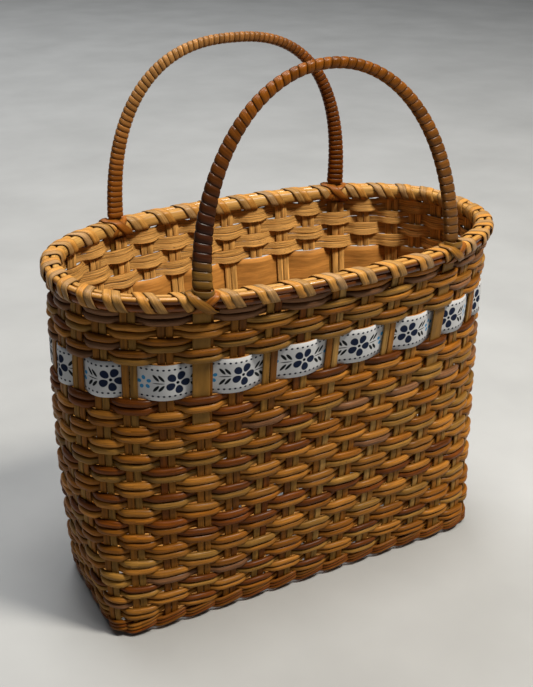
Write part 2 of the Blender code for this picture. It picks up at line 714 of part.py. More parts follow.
def main():
    """Build the basket from the base up."""
    clear_scene()
    add_cross_stakes()
    add_long_stakes()
    add_foot_border()
    add_weavers()
    add_band()
    add_rim_hoops()
    add_rim_lashings()
    add_handle_knots()
    front, back = handle_feet()[:2], handle_feet()[2:]
    add_handle("front_handle", front, FRONT_HANDLE_RISE, FRONT_ROUNDNESS_SHARE,
               FRONT_HANDLE_LEAN, (OLIVE, CHESTNUT))
    add_handle("back_handle", back, BACK_HANDLE_RISE, BACK_ROUNDNESS_SHARE,
               BACK_HANDLE_LEAN, (OLIVE, RUSSET))


main()
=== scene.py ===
"""Looks of the woven cane handled basket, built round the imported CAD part."""

import math

import bpy
import numpy as np
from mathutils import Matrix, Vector


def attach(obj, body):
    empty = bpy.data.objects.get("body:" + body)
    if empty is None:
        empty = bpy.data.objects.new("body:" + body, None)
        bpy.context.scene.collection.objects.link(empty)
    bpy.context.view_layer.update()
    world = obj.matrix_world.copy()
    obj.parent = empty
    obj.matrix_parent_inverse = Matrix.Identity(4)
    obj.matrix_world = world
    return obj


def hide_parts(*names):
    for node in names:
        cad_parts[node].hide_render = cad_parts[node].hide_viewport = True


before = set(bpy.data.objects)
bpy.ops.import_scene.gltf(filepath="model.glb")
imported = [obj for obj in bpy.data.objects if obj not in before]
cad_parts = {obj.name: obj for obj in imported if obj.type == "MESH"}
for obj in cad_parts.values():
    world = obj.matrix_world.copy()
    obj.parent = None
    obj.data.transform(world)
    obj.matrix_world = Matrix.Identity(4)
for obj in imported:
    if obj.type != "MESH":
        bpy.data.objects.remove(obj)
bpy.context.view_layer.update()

# Sizes, as in the CAD. Lengths are in metres
BASE_LENGTH, WAIST_LENGTH, RIM_LENGTH = 0.290, 0.312, 0.301
BASE_DEPTH, WAIST_DEPTH, RIM_DEPTH = 0.103, 0.128, 0.162
BASE_ROUNDNESS, WAIST_ROUNDNESS, RIM_ROUNDNESS = 0.133, 0.714, 0.8
FIT_GAP = 0.0003
LONG_SIDE_STAKES, END_STAKES = 13, 6
STAKE_COUNT = 2 * (LONG_SIDE_STAKES + END_STAKES)
STAKE_WIDTH, STAKE_THICKNESS, BEND_RADIUS = 0.0096, 0.0012, 0.004
LONG_PITCH_SHARE, END_PITCH_SHARE = 0.0285, 0.0223
COURSE_PITCH, FOOT_COURSE_PITCH, UPPER_COURSE_PITCH = 0.0101, 0.0080, 0.0091
COURSE_GAP = 0.0006
FOOT_COURSES, LOWER_COURSES, UPPER_COURSES = 3, 17, 4
LOWER_PITCHES = [FOOT_COURSE_PITCH] * FOOT_COURSES + [COURSE_PITCH] * (LOWER_COURSES - FOOT_COURSES)
UPPER_PITCHES = [UPPER_COURSE_PITCH] * UPPER_COURSES
BAND_HEIGHT = 0.0246
TWINE_HEIGHT, TWINE_CROSSING = 0.0034, 0.0020
CANE_RADIUS = 0.0024
INNER_THICKNESS = 0.0042
LASHING_THICKNESS = 0.0008
BASE_LEVEL = STAKE_THICKNESS * 1.5 + FIT_GAP
TWINE_LEVEL = BASE_LEVEL + BEND_RADIUS + TWINE_HEIGHT / 2 + COURSE_GAP
FIRST_COURSE = TWINE_LEVEL + TWINE_CROSSING + TWINE_HEIGHT / 2 + COURSE_GAP
BAND_LEVEL = FIRST_COURSE + sum(LOWER_PITCHES) + (BAND_HEIGHT + COURSE_GAP) / 2
UPPER_START = BAND_LEVEL + (BAND_HEIGHT + COURSE_GAP) / 2
RIM_BOTTOM = UPPER_START + sum(UPPER_PITCHES) + LASHING_THICKNESS + FIT_GAP
CANE_FLAT = CANE_RADIUS * math.cos(math.pi / 6)
RIM_TOP = RIM_BOTTOM + 4 * CANE_FLAT + FIT_GAP
RIM_FACE = STAKE_THICKNESS / 2 + FIT_GAP
FEET = (2, 10, 21, 29)
STRIP_WIDTH, STRIP_THICKNESS, STRIP_REACH = 0.0108, 0.0012, 0.0245
STRIP_END = UPPER_START - BAND_HEIGHT - COURSE_GAP - STRIP_REACH

TAU = math.tau
RNG = np.random.default_rng(11)


# Sums that several pieces use
def eased(share):
    """A share from 0 to 1 that starts and ends slowly."""
    return share * share * (3 - 2 * share)


def mix(a, b, share):
    share = np.asarray(share, float)[..., None]
    return np.asarray(a, float) * (1 - share) + np.asarray(b, float) * share


def unit(vectors):
    return vectors / np.linalg.norm(vectors, axis=-1, keepdims=True)


def with_height(vectors, height=0.0):
    """Flat vectors (n, 2) as (n, 3)."""
    return np.column_stack([vectors, np.broadcast_to(height, len(vectors))])


def lengths_of(points, closed=False):
    """Length along a line up to each of its points."""
    following = np.roll(points, -1, axis=0) if closed else points[1:]
    steps = np.linalg.norm(following - (points if closed else points[:-1]), axis=1)
    return np.concatenate([[0.0], np.cumsum(steps)])[:len(points)]


def sampled(line, lengths, wanted):
    """Points of a line at the wanted lengths along it."""
    return np.column_stack([np.interp(wanted, lengths, column) for column in line.T])


def rounded(cosine, sine, roundness):
    """Point on an oval: a circle at roundness 1, squarer below it."""
    return np.sign(cosine) * np.abs(cosine) ** roundness, np.sign(sine) * np.abs(sine) ** roundness


def eased_between(wanted, places, values):
    """Values at the wanted places, eased from each known place to the next."""
    low = np.clip(np.searchsorted(places, wanted, side="right") - 1, 0, len(places) - 2)
    share = eased(np.clip((wanted - places[low]) / (places[low + 1] - places[low]), 0, 1))
    return values[low] * (1 - share) + values[low + 1] * share


def smooth_noise(count, cycles, low=-1.0, high=1.0, closed=True):
    """Smooth seeded values along a strand, about one change for each cycle."""
    values = RNG.uniform(low, high, cycles)
    if closed:
        values = np.append(values, values[0])
    place = np.linspace(0, len(values) - 1, count, endpoint=not closed)
    return eased_between(place, np.arange(len(values)), values)


# Wall
OUTLINE_POINTS = 5761
OUTLINE_DIGITS = 12
GRID_LEVELS = np.linspace(0.0, RIM_TOP, 84)
GRID_STEPS = 1440
CORNER_PASSES, CORNER_REACH = 10, 3
TANGENT_STEP = 0.0035


def between(share, start, middle, end):
    return (start * (1 - share) * (1 - 2 * share) + middle * 4 * share * (1 - share)
            + end * share * (2 * share - 1))


def outline_row(height):
    """Even points round the wall at one height."""
    share = height / RIM_TOP
    half_length = between(share, BASE_LENGTH, WAIST_LENGTH, RIM_LENGTH) / 2
    half_depth = between(share, BASE_DEPTH, WAIST_DEPTH, RIM_DEPTH) / 2
    roundness = between(share, BASE_ROUNDNESS, WAIST_ROUNDNESS, RIM_ROUNDNESS)
    angle = np.linspace(-math.pi / 2, 1.5 * math.pi, OUTLINE_POINTS)
    cosine, sine = (np.round(wave(angle), OUTLINE_DIGITS) for wave in (np.cos, np.sin))
    line = np.column_stack(rounded(cosine, sine, roundness)) * (half_length, half_depth)
    lengths = lengths_of(line)
    return sampled(line, lengths / lengths[-1], np.arange(GRID_STEPS) / GRID_STEPS)


GRID = np.array([outline_row(level) for level in GRID_LEVELS])
# the sharp corners near the floor are eased as the reeds that pass them are
for _pass in range(CORNER_PASSES):
    GRID = (np.roll(GRID, CORNER_REACH, axis=1) + 2 * GRID + np.roll(GRID, -CORNER_REACH, axis=1)) / 4


def wall(share, height):
    """Points (n, 2) on the wall's middle line. Above the rim's top the outline stays the same."""
    share, height = np.broadcast_arrays(np.asarray(share, float), np.asarray(height, float))
    column = (share % 1.0) * GRID_STEPS
    left = np.floor(column).astype(int)
    along = (column - left)[..., None]
    row = np.clip(height / RIM_TOP, 0, 1) * (len(GRID_LEVELS) - 1)
    low = np.minimum(np.floor(row).astype(int), len(GRID_LEVELS) - 2)
    up = (row - low)[..., None]
    a, b = left % GRID_STEPS, (left + 1) % GRID_STEPS
    return ((GRID[low, a] * (1 - along) + GRID[low, b] * along) * (1 - up)
            + (GRID[low + 1, a] * (1 - along) + GRID[low + 1, b] * along) * up)


def wall_frame(share, height):
    """Points on the wall with their directions along it and out of it."""
    share = np.asarray(share)
    tangent = unit(wall(share + TANGENT_STEP, height) - wall(share - TANGENT_STEP, height))
    return wall(share, height), tangent, np.stack([tangent[..., 1], -tangent[..., 0]], axis=-1)


def on_wall(share, height, out, along=0.0):
    """Points beside the wall: out from it, and along it in metres."""
    point, tangent, normal = wall_frame(share, height)
    out, along, height = (np.broadcast_to(np.asarray(v, float), point.shape[:-1])
                          for v in (out, along, height))
    place = point + normal * out[..., None] + tangent * along[..., None]
    return np.concatenate([place, height[..., None]], axis=-1)


def wall_line(share, levels, out, along=0.0):
    """Points up the wall with their directions along it and out of it."""
    _, tangent, normal = wall_frame(share, levels)
    return on_wall(share, levels, out, along), with_height(tangent), with_height(normal)


def stake_shares():
    """Share of the way round at which each stake stands, from the front left one on."""
    shares = []
    sides = ((LONG_SIDE_STAKES, LONG_PITCH_SHARE), (END_STAKES, END_PITCH_SHARE)) * 2
    for side, (count, pitch) in enumerate(sides):
        shares.extend(side / 4 + (i - (count - 1) / 2) * pitch for i in range(count))
    return np.array(shares)


STAKES = stake_shares()
KNOWN_PLACES = np.arange(-STAKE_COUNT, 2 * STAKE_COUNT + 1)
KNOWN_SHARES = np.concatenate([STAKES - 1, STAKES, STAKES + 1, [STAKES[0] + 2]])


def place_share(place):
    """Share of the way round at a place counted in stakes."""
    return np.interp(place, KNOWN_PLACES, KNOWN_SHARES)


# Meshes
def strand(sections, tone, shades=1.0, v=None, u=None, closed=True):
    """Vertices, tones, faces and their UVs of one cane, from its sections (stations, corners, 3).

    tone is (stations, 3), and each corner of a section has its painted shade, darker at edges that lie in
    shadow. u has a value for each station, and v has one more than there are corners."""
    stations, corners = sections.shape[:2]
    v = np.linspace(0, 1, corners + 1) if v is None else v
    u = lengths_of(sections.mean(1), closed) if u is None else u
    # painted shade: each corner's tone is darkened by its shade
    tone = tone[:, None] * np.broadcast_to(shades, corners)[:, None]
    vertices, tones = [sections.reshape(-1, 3)], [tone.reshape(-1, 3)]
    here = np.arange(stations if closed else stations - 1)
    there = (here + 1) % stations
    u_here, u_there = u[here], u[there]
    if closed:
        u_there[-1] = u[-1] + (u[-1] - u[-2])
    faces, uvs = [], []
    for corner in range(corners):
        after = (corner + 1) % corners
        faces.append(np.stack([here * corners + corner, here * corners + after,
                               there * corners + after, there * corners + corner], 1))
        edges = ((u_here, corner), (u_here, corner + 1), (u_there, corner + 1), (u_there, corner))
        uvs.append(np.stack([np.column_stack([run, np.full(len(run), v[edge])]) for run, edge in edges], 1))
    if not closed:
        # each end is closed by a fan of triangles
        for number, end in enumerate((0, stations - 1)):
            vertices.append(sections[end].mean(0)[None])
            tones.append(tone[end].mean(0)[None] * 0.8)
            ring = end * corners + np.arange(corners)
            fan = np.column_stack([ring, np.roll(ring, -1), np.full(corners, stations * corners + number)])
            faces.append(fan[:, ::-1] if number == 0 else fan)
            uvs.append(np.full((corners, 3, 2), (u[end], 0.5)))
    return np.concatenate(vertices), np.concatenate(tones), faces, uvs


def build(name, strands, material, node):
    """One piece from strands, which replaces a CAD node."""
    faces, uvs = [], []
    first = 0
    for points, _, strand_faces, strand_uvs in strands:
        faces += [part + first for part in strand_faces]
        uvs += strand_uvs
        first += len(points)
    vertices, tones = (np.concatenate([part[column] for part in strands]) for column in (0, 1))
    mesh = bpy.data.meshes.new(name)
    mesh.from_pydata(vertices.tolist(), [], [face for part in faces for face in part.tolist()])
    mesh.polygons.foreach_set("use_smooth", np.ones(len(mesh.polygons), bool))
    layer = mesh.uv_layers.new(name="reed")
    layer.data.foreach_set("uv", np.concatenate([part.reshape(-1) for part in uvs]).astype(np.float32))
    attribute = mesh.color_attributes.new("tone", "FLOAT_COLOR", "POINT")
    attribute.data.foreach_set("color", with_height(tones, 1.0).astype(np.float32).ravel())
    mesh.validate()
    face_outwards(mesh)
    mesh.materials.append(material)
    piece = bpy.data.objects.new(name, mesh)
    bpy.context.scene.collection.objects.link(piece)
    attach(piece, "root")
    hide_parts(node)


def face_outwards(mesh):
    """Turn all faces over if the mesh encloses a negative volume."""
    points = np.zeros(len(mesh.vertices) * 3, np.float32)
    mesh.vertices.foreach_get("co", points)
    points = points.reshape(-1, 3).astype(float)
    mesh.calc_loop_triangles()
    triangles = np.zeros(len(mesh.loop_triangles) * 3, np.int32)
    mesh.loop_triangles.foreach_get("vertices", triangles)
    a, b, c = (points[column] for column in triangles.reshape(-1, 3).T)
    if np.einsum("ij,ij->i", a, np.cross(b, c)).sum() < 0:
        mesh.flip_normals()


# Colours (linear)
HONEY = np.array((0.325, 0.129, 0.017))
AMBER = np.array((0.252, 0.087, 0.007))
RUSSET = np.array((0.136, 0.035, 0.002))
OLIVE = np.array((0.270, 0.132, 0.024))
MAUVE = np.array((0.175, 0.078, 0.032))
STRAW = np.array((0.460, 0.255, 0.070))
PALE = np.array((0.450, 0.235, 0.065))
CHESTNUT = np.array((0.036, 0.010, 0.003))
ORANGE = np.array((0.250, 0.080, 0.010))
GOLD = np.array((0.360, 0.175, 0.040))
BEIGE = np.array((0.260, 0.150, 0.064))
WOOD = np.array((0.470, 0.203, 0.043))
CLOTH_DARK, CLOTH_LIGHT = (0.47, 0.475, 0.485), (0.56, 0.565, 0.575)
CLOTH_EDGE, CLOTH_BACK = (0.50, 0.51, 0.52), (0.42, 0.44, 0.46)
SKY_INK, LEAF_INK, NAVY_INK = (0.035, 0.22, 0.44), (0.003, 0.005, 0.006), (0.002, 0.008, 0.032)
DOT_INK, CORE_INK = (0.003, 0.006, 0.020), (0.004, 0.006, 0.010)
FLOOR_DARK, FLOOR_LIGHT = (0.31, 0.313, 0.31), (0.36, 0.363, 0.36)


# Materials
class Nodes:
    """Short ways to make and join shader nodes."""

    def __init__(self, material):
        self.tree = material.node_tree

    def add(self, kind, inputs=None, **values):
        """A node with its settings, and with values or links for some of its inputs."""
        node = self.tree.nodes.new(kind)
        for key, value in values.items():
            setattr(node, key, value)
        for key, value in (inputs or {}).items():
            self.put(node.inputs[key], value)
        return node

    def put(self, socket, value):
        if isinstance(value, bpy.types.NodeSocket):
            self.tree.links.new(value, socket)
        else:
            socket.default_value = value

    def math(self, operation, *values):
        return self.add("ShaderNodeMath", dict(enumerate(values)), operation=operation).outputs[0]

    def plus(self, a, b):
        return self.math("ADD", a, b)

    def minus(self, a, b):
        return self.math("SUBTRACT", a, b)

    def times(self, a, b):
        return self.math("MULTIPLY", a, b)

    def over(self, a, b):
        return self.math("DIVIDE", a, b)

    def squares(self, a, b):
        """Sum of two squares."""
        return self.plus(self.times(a, a), self.times(b, b))

    def wrapped(self, value, repeat):
        """Value moved by whole repeats until it is within half a repeat of 0."""
        return self.math("WRAP", value, repeat / 2, -repeat / 2)

    def combine(self, x, y, z):
        return self.add("ShaderNodeCombineXYZ", {0: x, 1: y, 2: z}).outputs[0]

    def noise(self, vector, scale, detail, roughness=0.55):
        inputs = {"Vector": vector, "Scale": scale, "Detail": detail, "Roughness": roughness}
        return self.add("ShaderNodeTexNoise", inputs).outputs["Fac"]

    def streaks(self, x, y, x_scale, y_scale, shift=0.0, detail=3.0, roughness=0.55):
        """Noise with its own scale in each direction."""
        place = self.combine(self.times(x, x_scale), self.times(y, y_scale), shift)
        return self.noise(place, 1.0, detail, roughness)

    def span(self, value, from_low, from_high, to_low=0.0, to_high=1.0):
        """Value carried from one range to another, and kept inside it."""
        inputs = {"Value": value, "From Min": from_low, "From Max": from_high,
                  "To Min": to_low, "To Max": to_high}
        return self.add("ShaderNodeMapRange", inputs, clamp=True).outputs["Result"]

    def blend(self, factor, a, b, kind="MIX"):
        inputs = {0: factor, 6: a, 7: b}
        return self.add("ShaderNodeMix", inputs, data_type="RGBA", blend_type=kind).outputs[2]

    def darkened(self, colour, shade):
        return self.blend(1.0, colour, self.combine(shade, shade, shade), "MULTIPLY")

    def reed_place(self):
        """The two values of the UV map, which every piece's mesh has."""
        place = self.add("ShaderNodeUVMap", uv_map="reed").outputs[0]
        split = self.add("ShaderNodeSeparateXYZ", {0: place})
        return split.outputs[0], split.outputs[1]

    def bump(self, shader, height, strength, distance):
        node = self.add("ShaderNodeBump", {"Strength": strength, "Distance": distance, "Height": height})
        self.put(shader.inputs["Normal"], node.outputs[0])


def rgba(colour):
    return (*[float(c) for c in colour], 1.0)


def new_material(name, roughness, coat, specular):
    material = bpy.data.materials.new(name)
    material.use_nodes = True
    shader = material.node_tree.nodes["Principled BSDF"]
    for key, value in (("Roughness", roughness), ("Coat Weight", coat), ("Coat Roughness", 0.22),
                       ("Specular IOR Level", specular)):
        shader.inputs[key].default_value = value
    return material, shader, Nodes(material)


# Range of the noise that is spread over the whole of an effect
NOISE_RANGE = (0.3, 0.7)
# Share of the way round a section between which the skin side gives way to the split side
SKIN_END = (0.60, 0.63)


def reed_material(name, roughness, coat, fibre, bump, back=None, spots=0.0, top_highlight=None):
    """Cane or reed: fibres along it, slow tone changes, freckles, a paler split side if back is given, and
    a painted highlight along its top if a highlight colour is given.

    u runs along the reed in metres and v round it from 0 to 1, with the skin side first."""
    material, shader, n = new_material(name, roughness, coat, 0.09)
    u, v = n.reed_place()
    tone = n.add("ShaderNodeAttribute", attribute_name="tone").outputs["Color"]
    coarse = n.streaks(u, v, 34.0, 13.0)
    fine = n.streaks(u, v, 70.0, 34.0, 3.7, 4.0, 0.6)
    slow = n.span(coarse, *NOISE_RANGE, -0.5, 0.5)
    quick = n.span(fine, *NOISE_RANGE, -0.5, 0.5)
    shade = n.times(n.math("MULTIPLY_ADD", slow, 0.50 * fibre, 1.0),
                    n.math("MULTIPLY_ADD", quick, 0.34 * fibre, 1.0))
    colour = tone
    if top_highlight is not None:
        # painted highlight: the skin is paler along the top of a round cane, where the light falls on it
        wavy = n.plus(v, n.times(n.minus(coarse, 0.5), 0.06))
        highlight_mask = n.times(n.span(wavy, 0.53, 0.64), n.span(wavy, 0.97, 0.99, 1.0, 0.0))
        colour = n.blend(highlight_mask, colour, rgba(top_highlight))
    height = fine
    if back is not None:
        groove = n.streaks(u, v, 22.0, 60.0, 9.1, 2.0, 0.5)
        inside = n.span(v, *SKIN_END)
        lines = n.math("MULTIPLY_ADD", n.span(groove, 0.36, 0.56), 0.48, 0.60)
        pale = n.blend(0.12, n.darkened(rgba(back), lines), tone)
        colour = n.blend(inside, colour, pale)
        height = n.plus(fine, n.times(inside, n.times(groove, 2.2)))
    if spots:
        freckle = n.streaks(u, v, 480.0, 17.0, 5.3, 2.0)
        where = n.streaks(u, v, 12.0, 1.5, 1.9, 1.0)
        mark = n.times(n.span(freckle, 0.60, 0.70), n.span(where, 0.56, 0.66))
        colour = n.blend(n.times(mark, spots), colour, rgba(CHESTNUT * 1.3))
    n.put(shader.inputs["Base Color"], n.darkened(colour, shade))
    n.put(shader.inputs["Roughness"], n.math("MULTIPLY_ADD", slow, 0.16, roughness))
    n.bump(shader, height, bump, 0.0004)
    return material


# Ribbon print, in millimetres. A flower and a sky blue blossom alternate, with leaves between them
PRINT_REPEAT = 42.0
DOTS_PER_REPEAT = 12
DOT_LEVEL, DOT_SIZE = 9.2, (0.85, 0.66)
# Five petals: the distance of their middles, their half length and half width, their turn and their taper
SKY_PETALS = (3.3, 1.45, 1.25, 0.2, 0.0)
NAVY_PETALS = (4.95, 3.0, 2.5, 0.768, 0.14)
LEAVES = ((10.2, 3.5, 0.85), (13.6, 3.7, 0.85), (10.2, -3.5, -0.85), (13.6, -3.7, -0.85))
LEAF_SIZE = (2.8, 0.95)
STEM_PLACE, STEM_SIZE = 11.9, (3.7, 0.34)
CORE_RADIUS = 1.05
EDGE_START, EDGE_END = 11.3, 12.1


def ribbon_material():
    """Pale woven ribbon with a traditional print: five-petalled flowers, leaf sprigs and dotted edges.

    u runs along it in metres from the middle of a flower, and v across its face from 0 to 0.5."""
    material, shader, n = new_material("printed_ribbon_cloth", 0.8, 0.0, 0.03)
    u, v = n.reed_place()
    along = n.times(u, 1000.0)
    y = n.times(n.minus(v, 0.25), 2 * BAND_HEIGHT * 1000)
    x = n.wrapped(along, PRINT_REPEAT)
    from_flower, from_middle = n.math("ABSOLUTE", x), n.math("ABSOLUTE", y)

    def ellipse(px, py, cx, cy, rx, ry, turn=0.0, soft=0.12):
        """1 inside an ellipse and 0 outside it."""
        dx, dy = n.minus(px, cx), n.minus(py, cy)
        c, s = math.cos(turn), math.sin(turn)
        lx = n.over(n.plus(n.times(dx, c), n.times(dy, s)), rx)
        ly = n.over(n.minus(n.times(dy, c), n.times(dx, s)), ry)
        return n.span(n.math("SQRT", n.squares(lx, ly)), 1.0 - soft, 1.0 + soft, 1.0, 0.0)

    def petals(px, middle, length, width, turn, taper):
        """1 inside the five petals of a flower whose middle is at px = 0."""
        sector = TAU / 5
        # whole turns are added so that the angle is never below 0
        angle = n.plus(n.math("ARCTAN2", y, px), turn + 4 * TAU)
        angle = n.minus(n.math("MODULO", angle, sector), sector / 2)
        reach = n.math("SQRT", n.squares(px, y))
        qx = n.times(reach, n.math("COSINE", angle))
        qy = n.times(reach, n.math("SINE", angle))
        beyond = n.minus(qx, middle)
        ly = n.over(qy, n.math("MULTIPLY_ADD", beyond, taper, width))
        return n.span(n.squares(n.over(beyond, length), ly), 0.86, 1.12, 1.0, 0.0)

    leaves = ellipse(from_flower, y, STEM_PLACE, 0.0, *STEM_SIZE, 0.0, 0.2)
    for cx, cy, turn in LEAVES:
        leaves = n.math("MAXIMUM", leaves, ellipse(from_flower, y, cx, cy, *LEAF_SIZE, turn, 0.14))
    dot_pitch = PRINT_REPEAT / DOTS_PER_REPEAT
    dot_x = n.wrapped(n.plus(along, dot_pitch / 2), dot_pitch)
    dots = ellipse(dot_x, from_middle, 0.0, DOT_LEVEL, *DOT_SIZE, 0.0, 0.2)
    blossom_x = n.wrapped(n.plus(along, PRINT_REPEAT / 2), PRINT_REPEAT)
    weave = n.streaks(along, y, 2.6, 2.6, 0.0, 2.0)
    cloth = n.blend(n.span(weave, *NOISE_RANGE), rgba(CLOTH_DARK), rgba(CLOTH_LIGHT))
    cloth = n.blend(n.times(n.span(from_middle, EDGE_START, EDGE_END), 0.5), cloth, rgba(CLOTH_EDGE))
    ink = n.span(weave, 0.2, 0.8, 0.96, 1.0)
    for shape, colour in ((petals(blossom_x, *SKY_PETALS), SKY_INK), (leaves, LEAF_INK),
                          (petals(x, *NAVY_PETALS), NAVY_INK), (dots, DOT_INK)):
        cloth = n.blend(n.times(shape, ink), cloth, rgba(colour))
    cloth = n.blend(ellipse(x, y, 0.0, 0.0, CORE_RADIUS, CORE_RADIUS), cloth, rgba(CORE_INK))
    cloth = n.blend(n.span(v, 0.5, 0.51), cloth, rgba(CLOTH_BACK))
    n.put(shader.inputs["Base Color"], cloth)
    n.bump(shader, n.streaks(along, y, 6.0, 1.2, 0.0, 2.0), 0.25, 0.0002)
    return material


WEAVER_MATERIAL = reed_material("weaver_cane", 0.42, 0.08, 1.55, 0.6, back=PALE * 1.38, spots=0.7)
STAKE_MATERIAL = reed_material("stake_cane", 0.52, 0.02, 1.45, 0.5, back=PALE * 1.35)
STRIP_MATERIAL = reed_material("handle_strip_cane", 0.45, 0.03, 0.8, 0.3)
# painted highlight along the top of the rim's upper cane
RIM_MATERIAL = reed_material("rim_cane_skin", 0.24, 0.42, 1.1, 0.25, top_highlight=GOLD * 1.1)
RIM_LOW_MATERIAL = reed_material("rim_cane_red_skin", 0.25, 0.38, 1.1, 0.25)
HALF_ROUND_MATERIAL = reed_material("rim_half_round_cane", 0.40, 0.12, 1.2, 0.35)
LASHING_MATERIAL = reed_material("lashing_cane_skin", 0.40, 0.08, 1.3, 0.4)
WRAP_MATERIAL = reed_material("handle_cane_skin", 0.36, 0.09, 1.1, 0.3, spots=0.3)
WOOD_MATERIAL = reed_material("shaved_wood", 0.62, 0.0, 1.1, 0.6)
RIBBON_MATERIAL = ribbon_material()

# Sections, and a painted shade for each of their corners: darker along the edges, where neighbouring reeds
# and turns meet and shadow falls
ROUND_POINTS = 7
REED_PAINTED_SHADES = (0.50, 0.84, 1.0, 1.04, 1.0, 0.84, 0.50, 0.8, 1.0, 1.0, 0.8)
BAND_PAINTED_SHADES = (0.45, 0.70, 0.96, 1.0, 0.96, 0.70, 0.45, 0.6, 0.6)
STRIP_PAINTED_SHADES = (0.60, 0.60, 0.88, 1.0, 1.0, 0.88, 0.60, 0.60, 0.9, 0.9)


def half_round():
    """Half-round reed of unit size as offsets (out, up), the rounded outside first, and its v."""
    angle = np.linspace(0.0, math.pi, ROUND_POINTS)
    outer = [(-0.44 + 0.94 * math.sin(a) ** 0.72, -0.5 * math.cos(a)) for a in angle]
    inner = [(-0.5, up) for up in (0.46, 0.34, -0.34, -0.46)]
    v = [*np.linspace(0.0, SKIN_END[0], ROUND_POINTS), 0.62, 0.68, 0.92, 0.98, 1.0]
    return np.array(outer + inner), np.array(v)


def rounded_strip(width, thickness, edge=0.35):
    """Flat strip with eased edges, as offsets (across, through): the outer face first."""
    x, y = width / 2, thickness / 2
    e = thickness * edge
    corners = [(-x, -y + e), (-x, y - e), (-x + e, y), (-x + 1.8 * e, y), (x - 1.8 * e, y),
               (x - e, y), (x, y - e), (x, -y + e), (x - e, -y), (-x + e, -y)]
    return np.array(corners)


def swept(points, acrosses, outs, section):
    """A section carried along a line."""
    return points[:, None] + acrosses[:, None] * section[..., 0:1] + outs[:, None] * section[..., 1:2]


# Weavers
PER_STAKE = 12
RING_PLACES = np.arange(STAKE_COUNT * PER_STAKE) / PER_STAKE
RING_SHARES = place_share(RING_PLACES)
# How far the courses stray up or down, in millimetres, by height and by place counted in stakes
WANDER_PLACES = np.array([-6, -1, 1, 3, 5, 7, 9, 12, 16, 32])
WANDER_HEIGHTS = np.array([10, 45, 80, 115, 160, 192, 240]) / 1000
WANDER = np.array([[0.0, 1.0, 1.0, -1.5, -1.0, -0.5, 0.0, 0.0, 0.0, 0.0],
                   [1.0, 3.0, 2.0, -2.5, -2.0, -1.2, 0.0, 0.0, 0.0, 1.0],
                   [1.0, 3.0, 1.0, -2.0, -1.0, 0.0, 1.0, 0.5, 0.0, 1.0],
                   [1.0, 2.5, 1.0, 0.0, 1.0, 2.0, 1.5, 0.5, 0.0, 1.0],
                   [1.0, 2.5, 1.5, 0.6, 2.6, 3.2, 2.2, 0.8, 0.0, 1.0],
                   [1.0, 2.5, 0.7, 0.9, 3.4, 3.8, 2.8, 1.2, 0.0, 1.0],
                   [0.0, 0.0, 0.0, 0.0, 0.0, 0.0, 0.0, 0.0, 0.0, 0.0]]) / 1000
# Distance of a course from the wall's middle line at a stake, and at one that carries a handle's strip
WEAVE_REACH, HANDLE_WEAVE_REACH = 0.0022, 0.0034
# A strand turns between stakes late (power) and then quickly (firmness)
WEAVE_POWER, WEAVE_FIRMNESS = 1.30, 1.35
# Courses down to this far below the end of a handle's strip still swing out over it
STRIP_TAIL = 0.0095
# Half the distance between the two reeds of a course, their width and their thickness, each half way
# between two stakes and what it gains at a stake
REED_SPREAD, SPREAD_GAIN = 0.00250, 0.00036
REED_WIDTH, WIDTH_GAIN = 0.00490, 0.00072
REED_THICKNESS, THICKNESS_GAIN = 0.0025, 0.0003
STAKE_BOW = 0.0005
# Shares of honey, amber, russet, olive and mauve in the lower and the upper reed of a course
REED_PALETTE = np.array([HONEY, AMBER, RUSSET, OLIVE, MAUVE])
LOWER_REED_SHARES = (0.48, 0.18, 0.08, 0.21, 0.05)
UPPER_REED_SHARES = (0.30, 0.34, 0.21, 0.11, 0.04)
DARK_REED_SHARES = (0.16, 0.32, 0.38, 0.06, 0.08)
DARK_COURSES = (6, 8, 12)
KEPT_TONE_SHARE = 0.66


def wander(places, height):
    """How far a course strays from its level at places counted in stakes."""
    row = np.array([np.interp(height, WANDER_HEIGHTS, column) for column in WANDER.T])
    wrapped = (np.asarray(places) - WANDER_PLACES[0]) % STAKE_COUNT + WANDER_PLACES[0]
    return eased_between(wrapped, WANDER_PLACES, row)


def course_list():
    """Node name, level, pitch and phase of every course from the foot up."""
    courses = []
    for group, pitches, bottom, phase in (("lower_weaver", LOWER_PITCHES, FIRST_COURSE, LOWER_COURSES + 1),
                                          ("upper_weaver", UPPER_PITCHES, UPPER_START, 0)):
        for row, pitch in enumerate(pitches):
            courses.append((f"{group}_{row + 1:02d}", bottom + pitch / 2, pitch, phase + row))
            bottom += pitch
    return courses


COURSES = course_list()


def weave_profile(places, phase):
    """1 over an outside stake to -1 over an inside one; a strand stays outside for most of the gap.

    Stakes are outside where their number and the phase add up to an even number. The outside stake that
    each place is nearest to is given too."""
    nearest = (2 * np.floor((places + phase) / 2 + 0.5) - phase).astype(int)
    away = np.abs(places - nearest) ** WEAVE_POWER
    return np.tanh(WEAVE_FIRMNESS * np.cos(math.pi * away)) / math.tanh(WEAVE_FIRMNESS), nearest


def tone_of_passes(nearest, phase, weights):
    """Tones of one reed, each kept for a few passes and changed only behind a stake."""
    passes = STAKE_COUNT // 2
    picks = RNG.choice(len(REED_PALETTE), passes, p=weights)
    shades = RNG.uniform(0.72, 1.22, passes)
    kept = RNG.uniform(size=passes) < KEPT_TONE_SHARE
    for number in range(1, passes):
        if kept[number]:
            picks[number], shades[number] = picks[number - 1], shades[number - 1]
    return (REED_PALETTE[picks] * shades[:, None])[(nearest + phase) // 2 % passes]


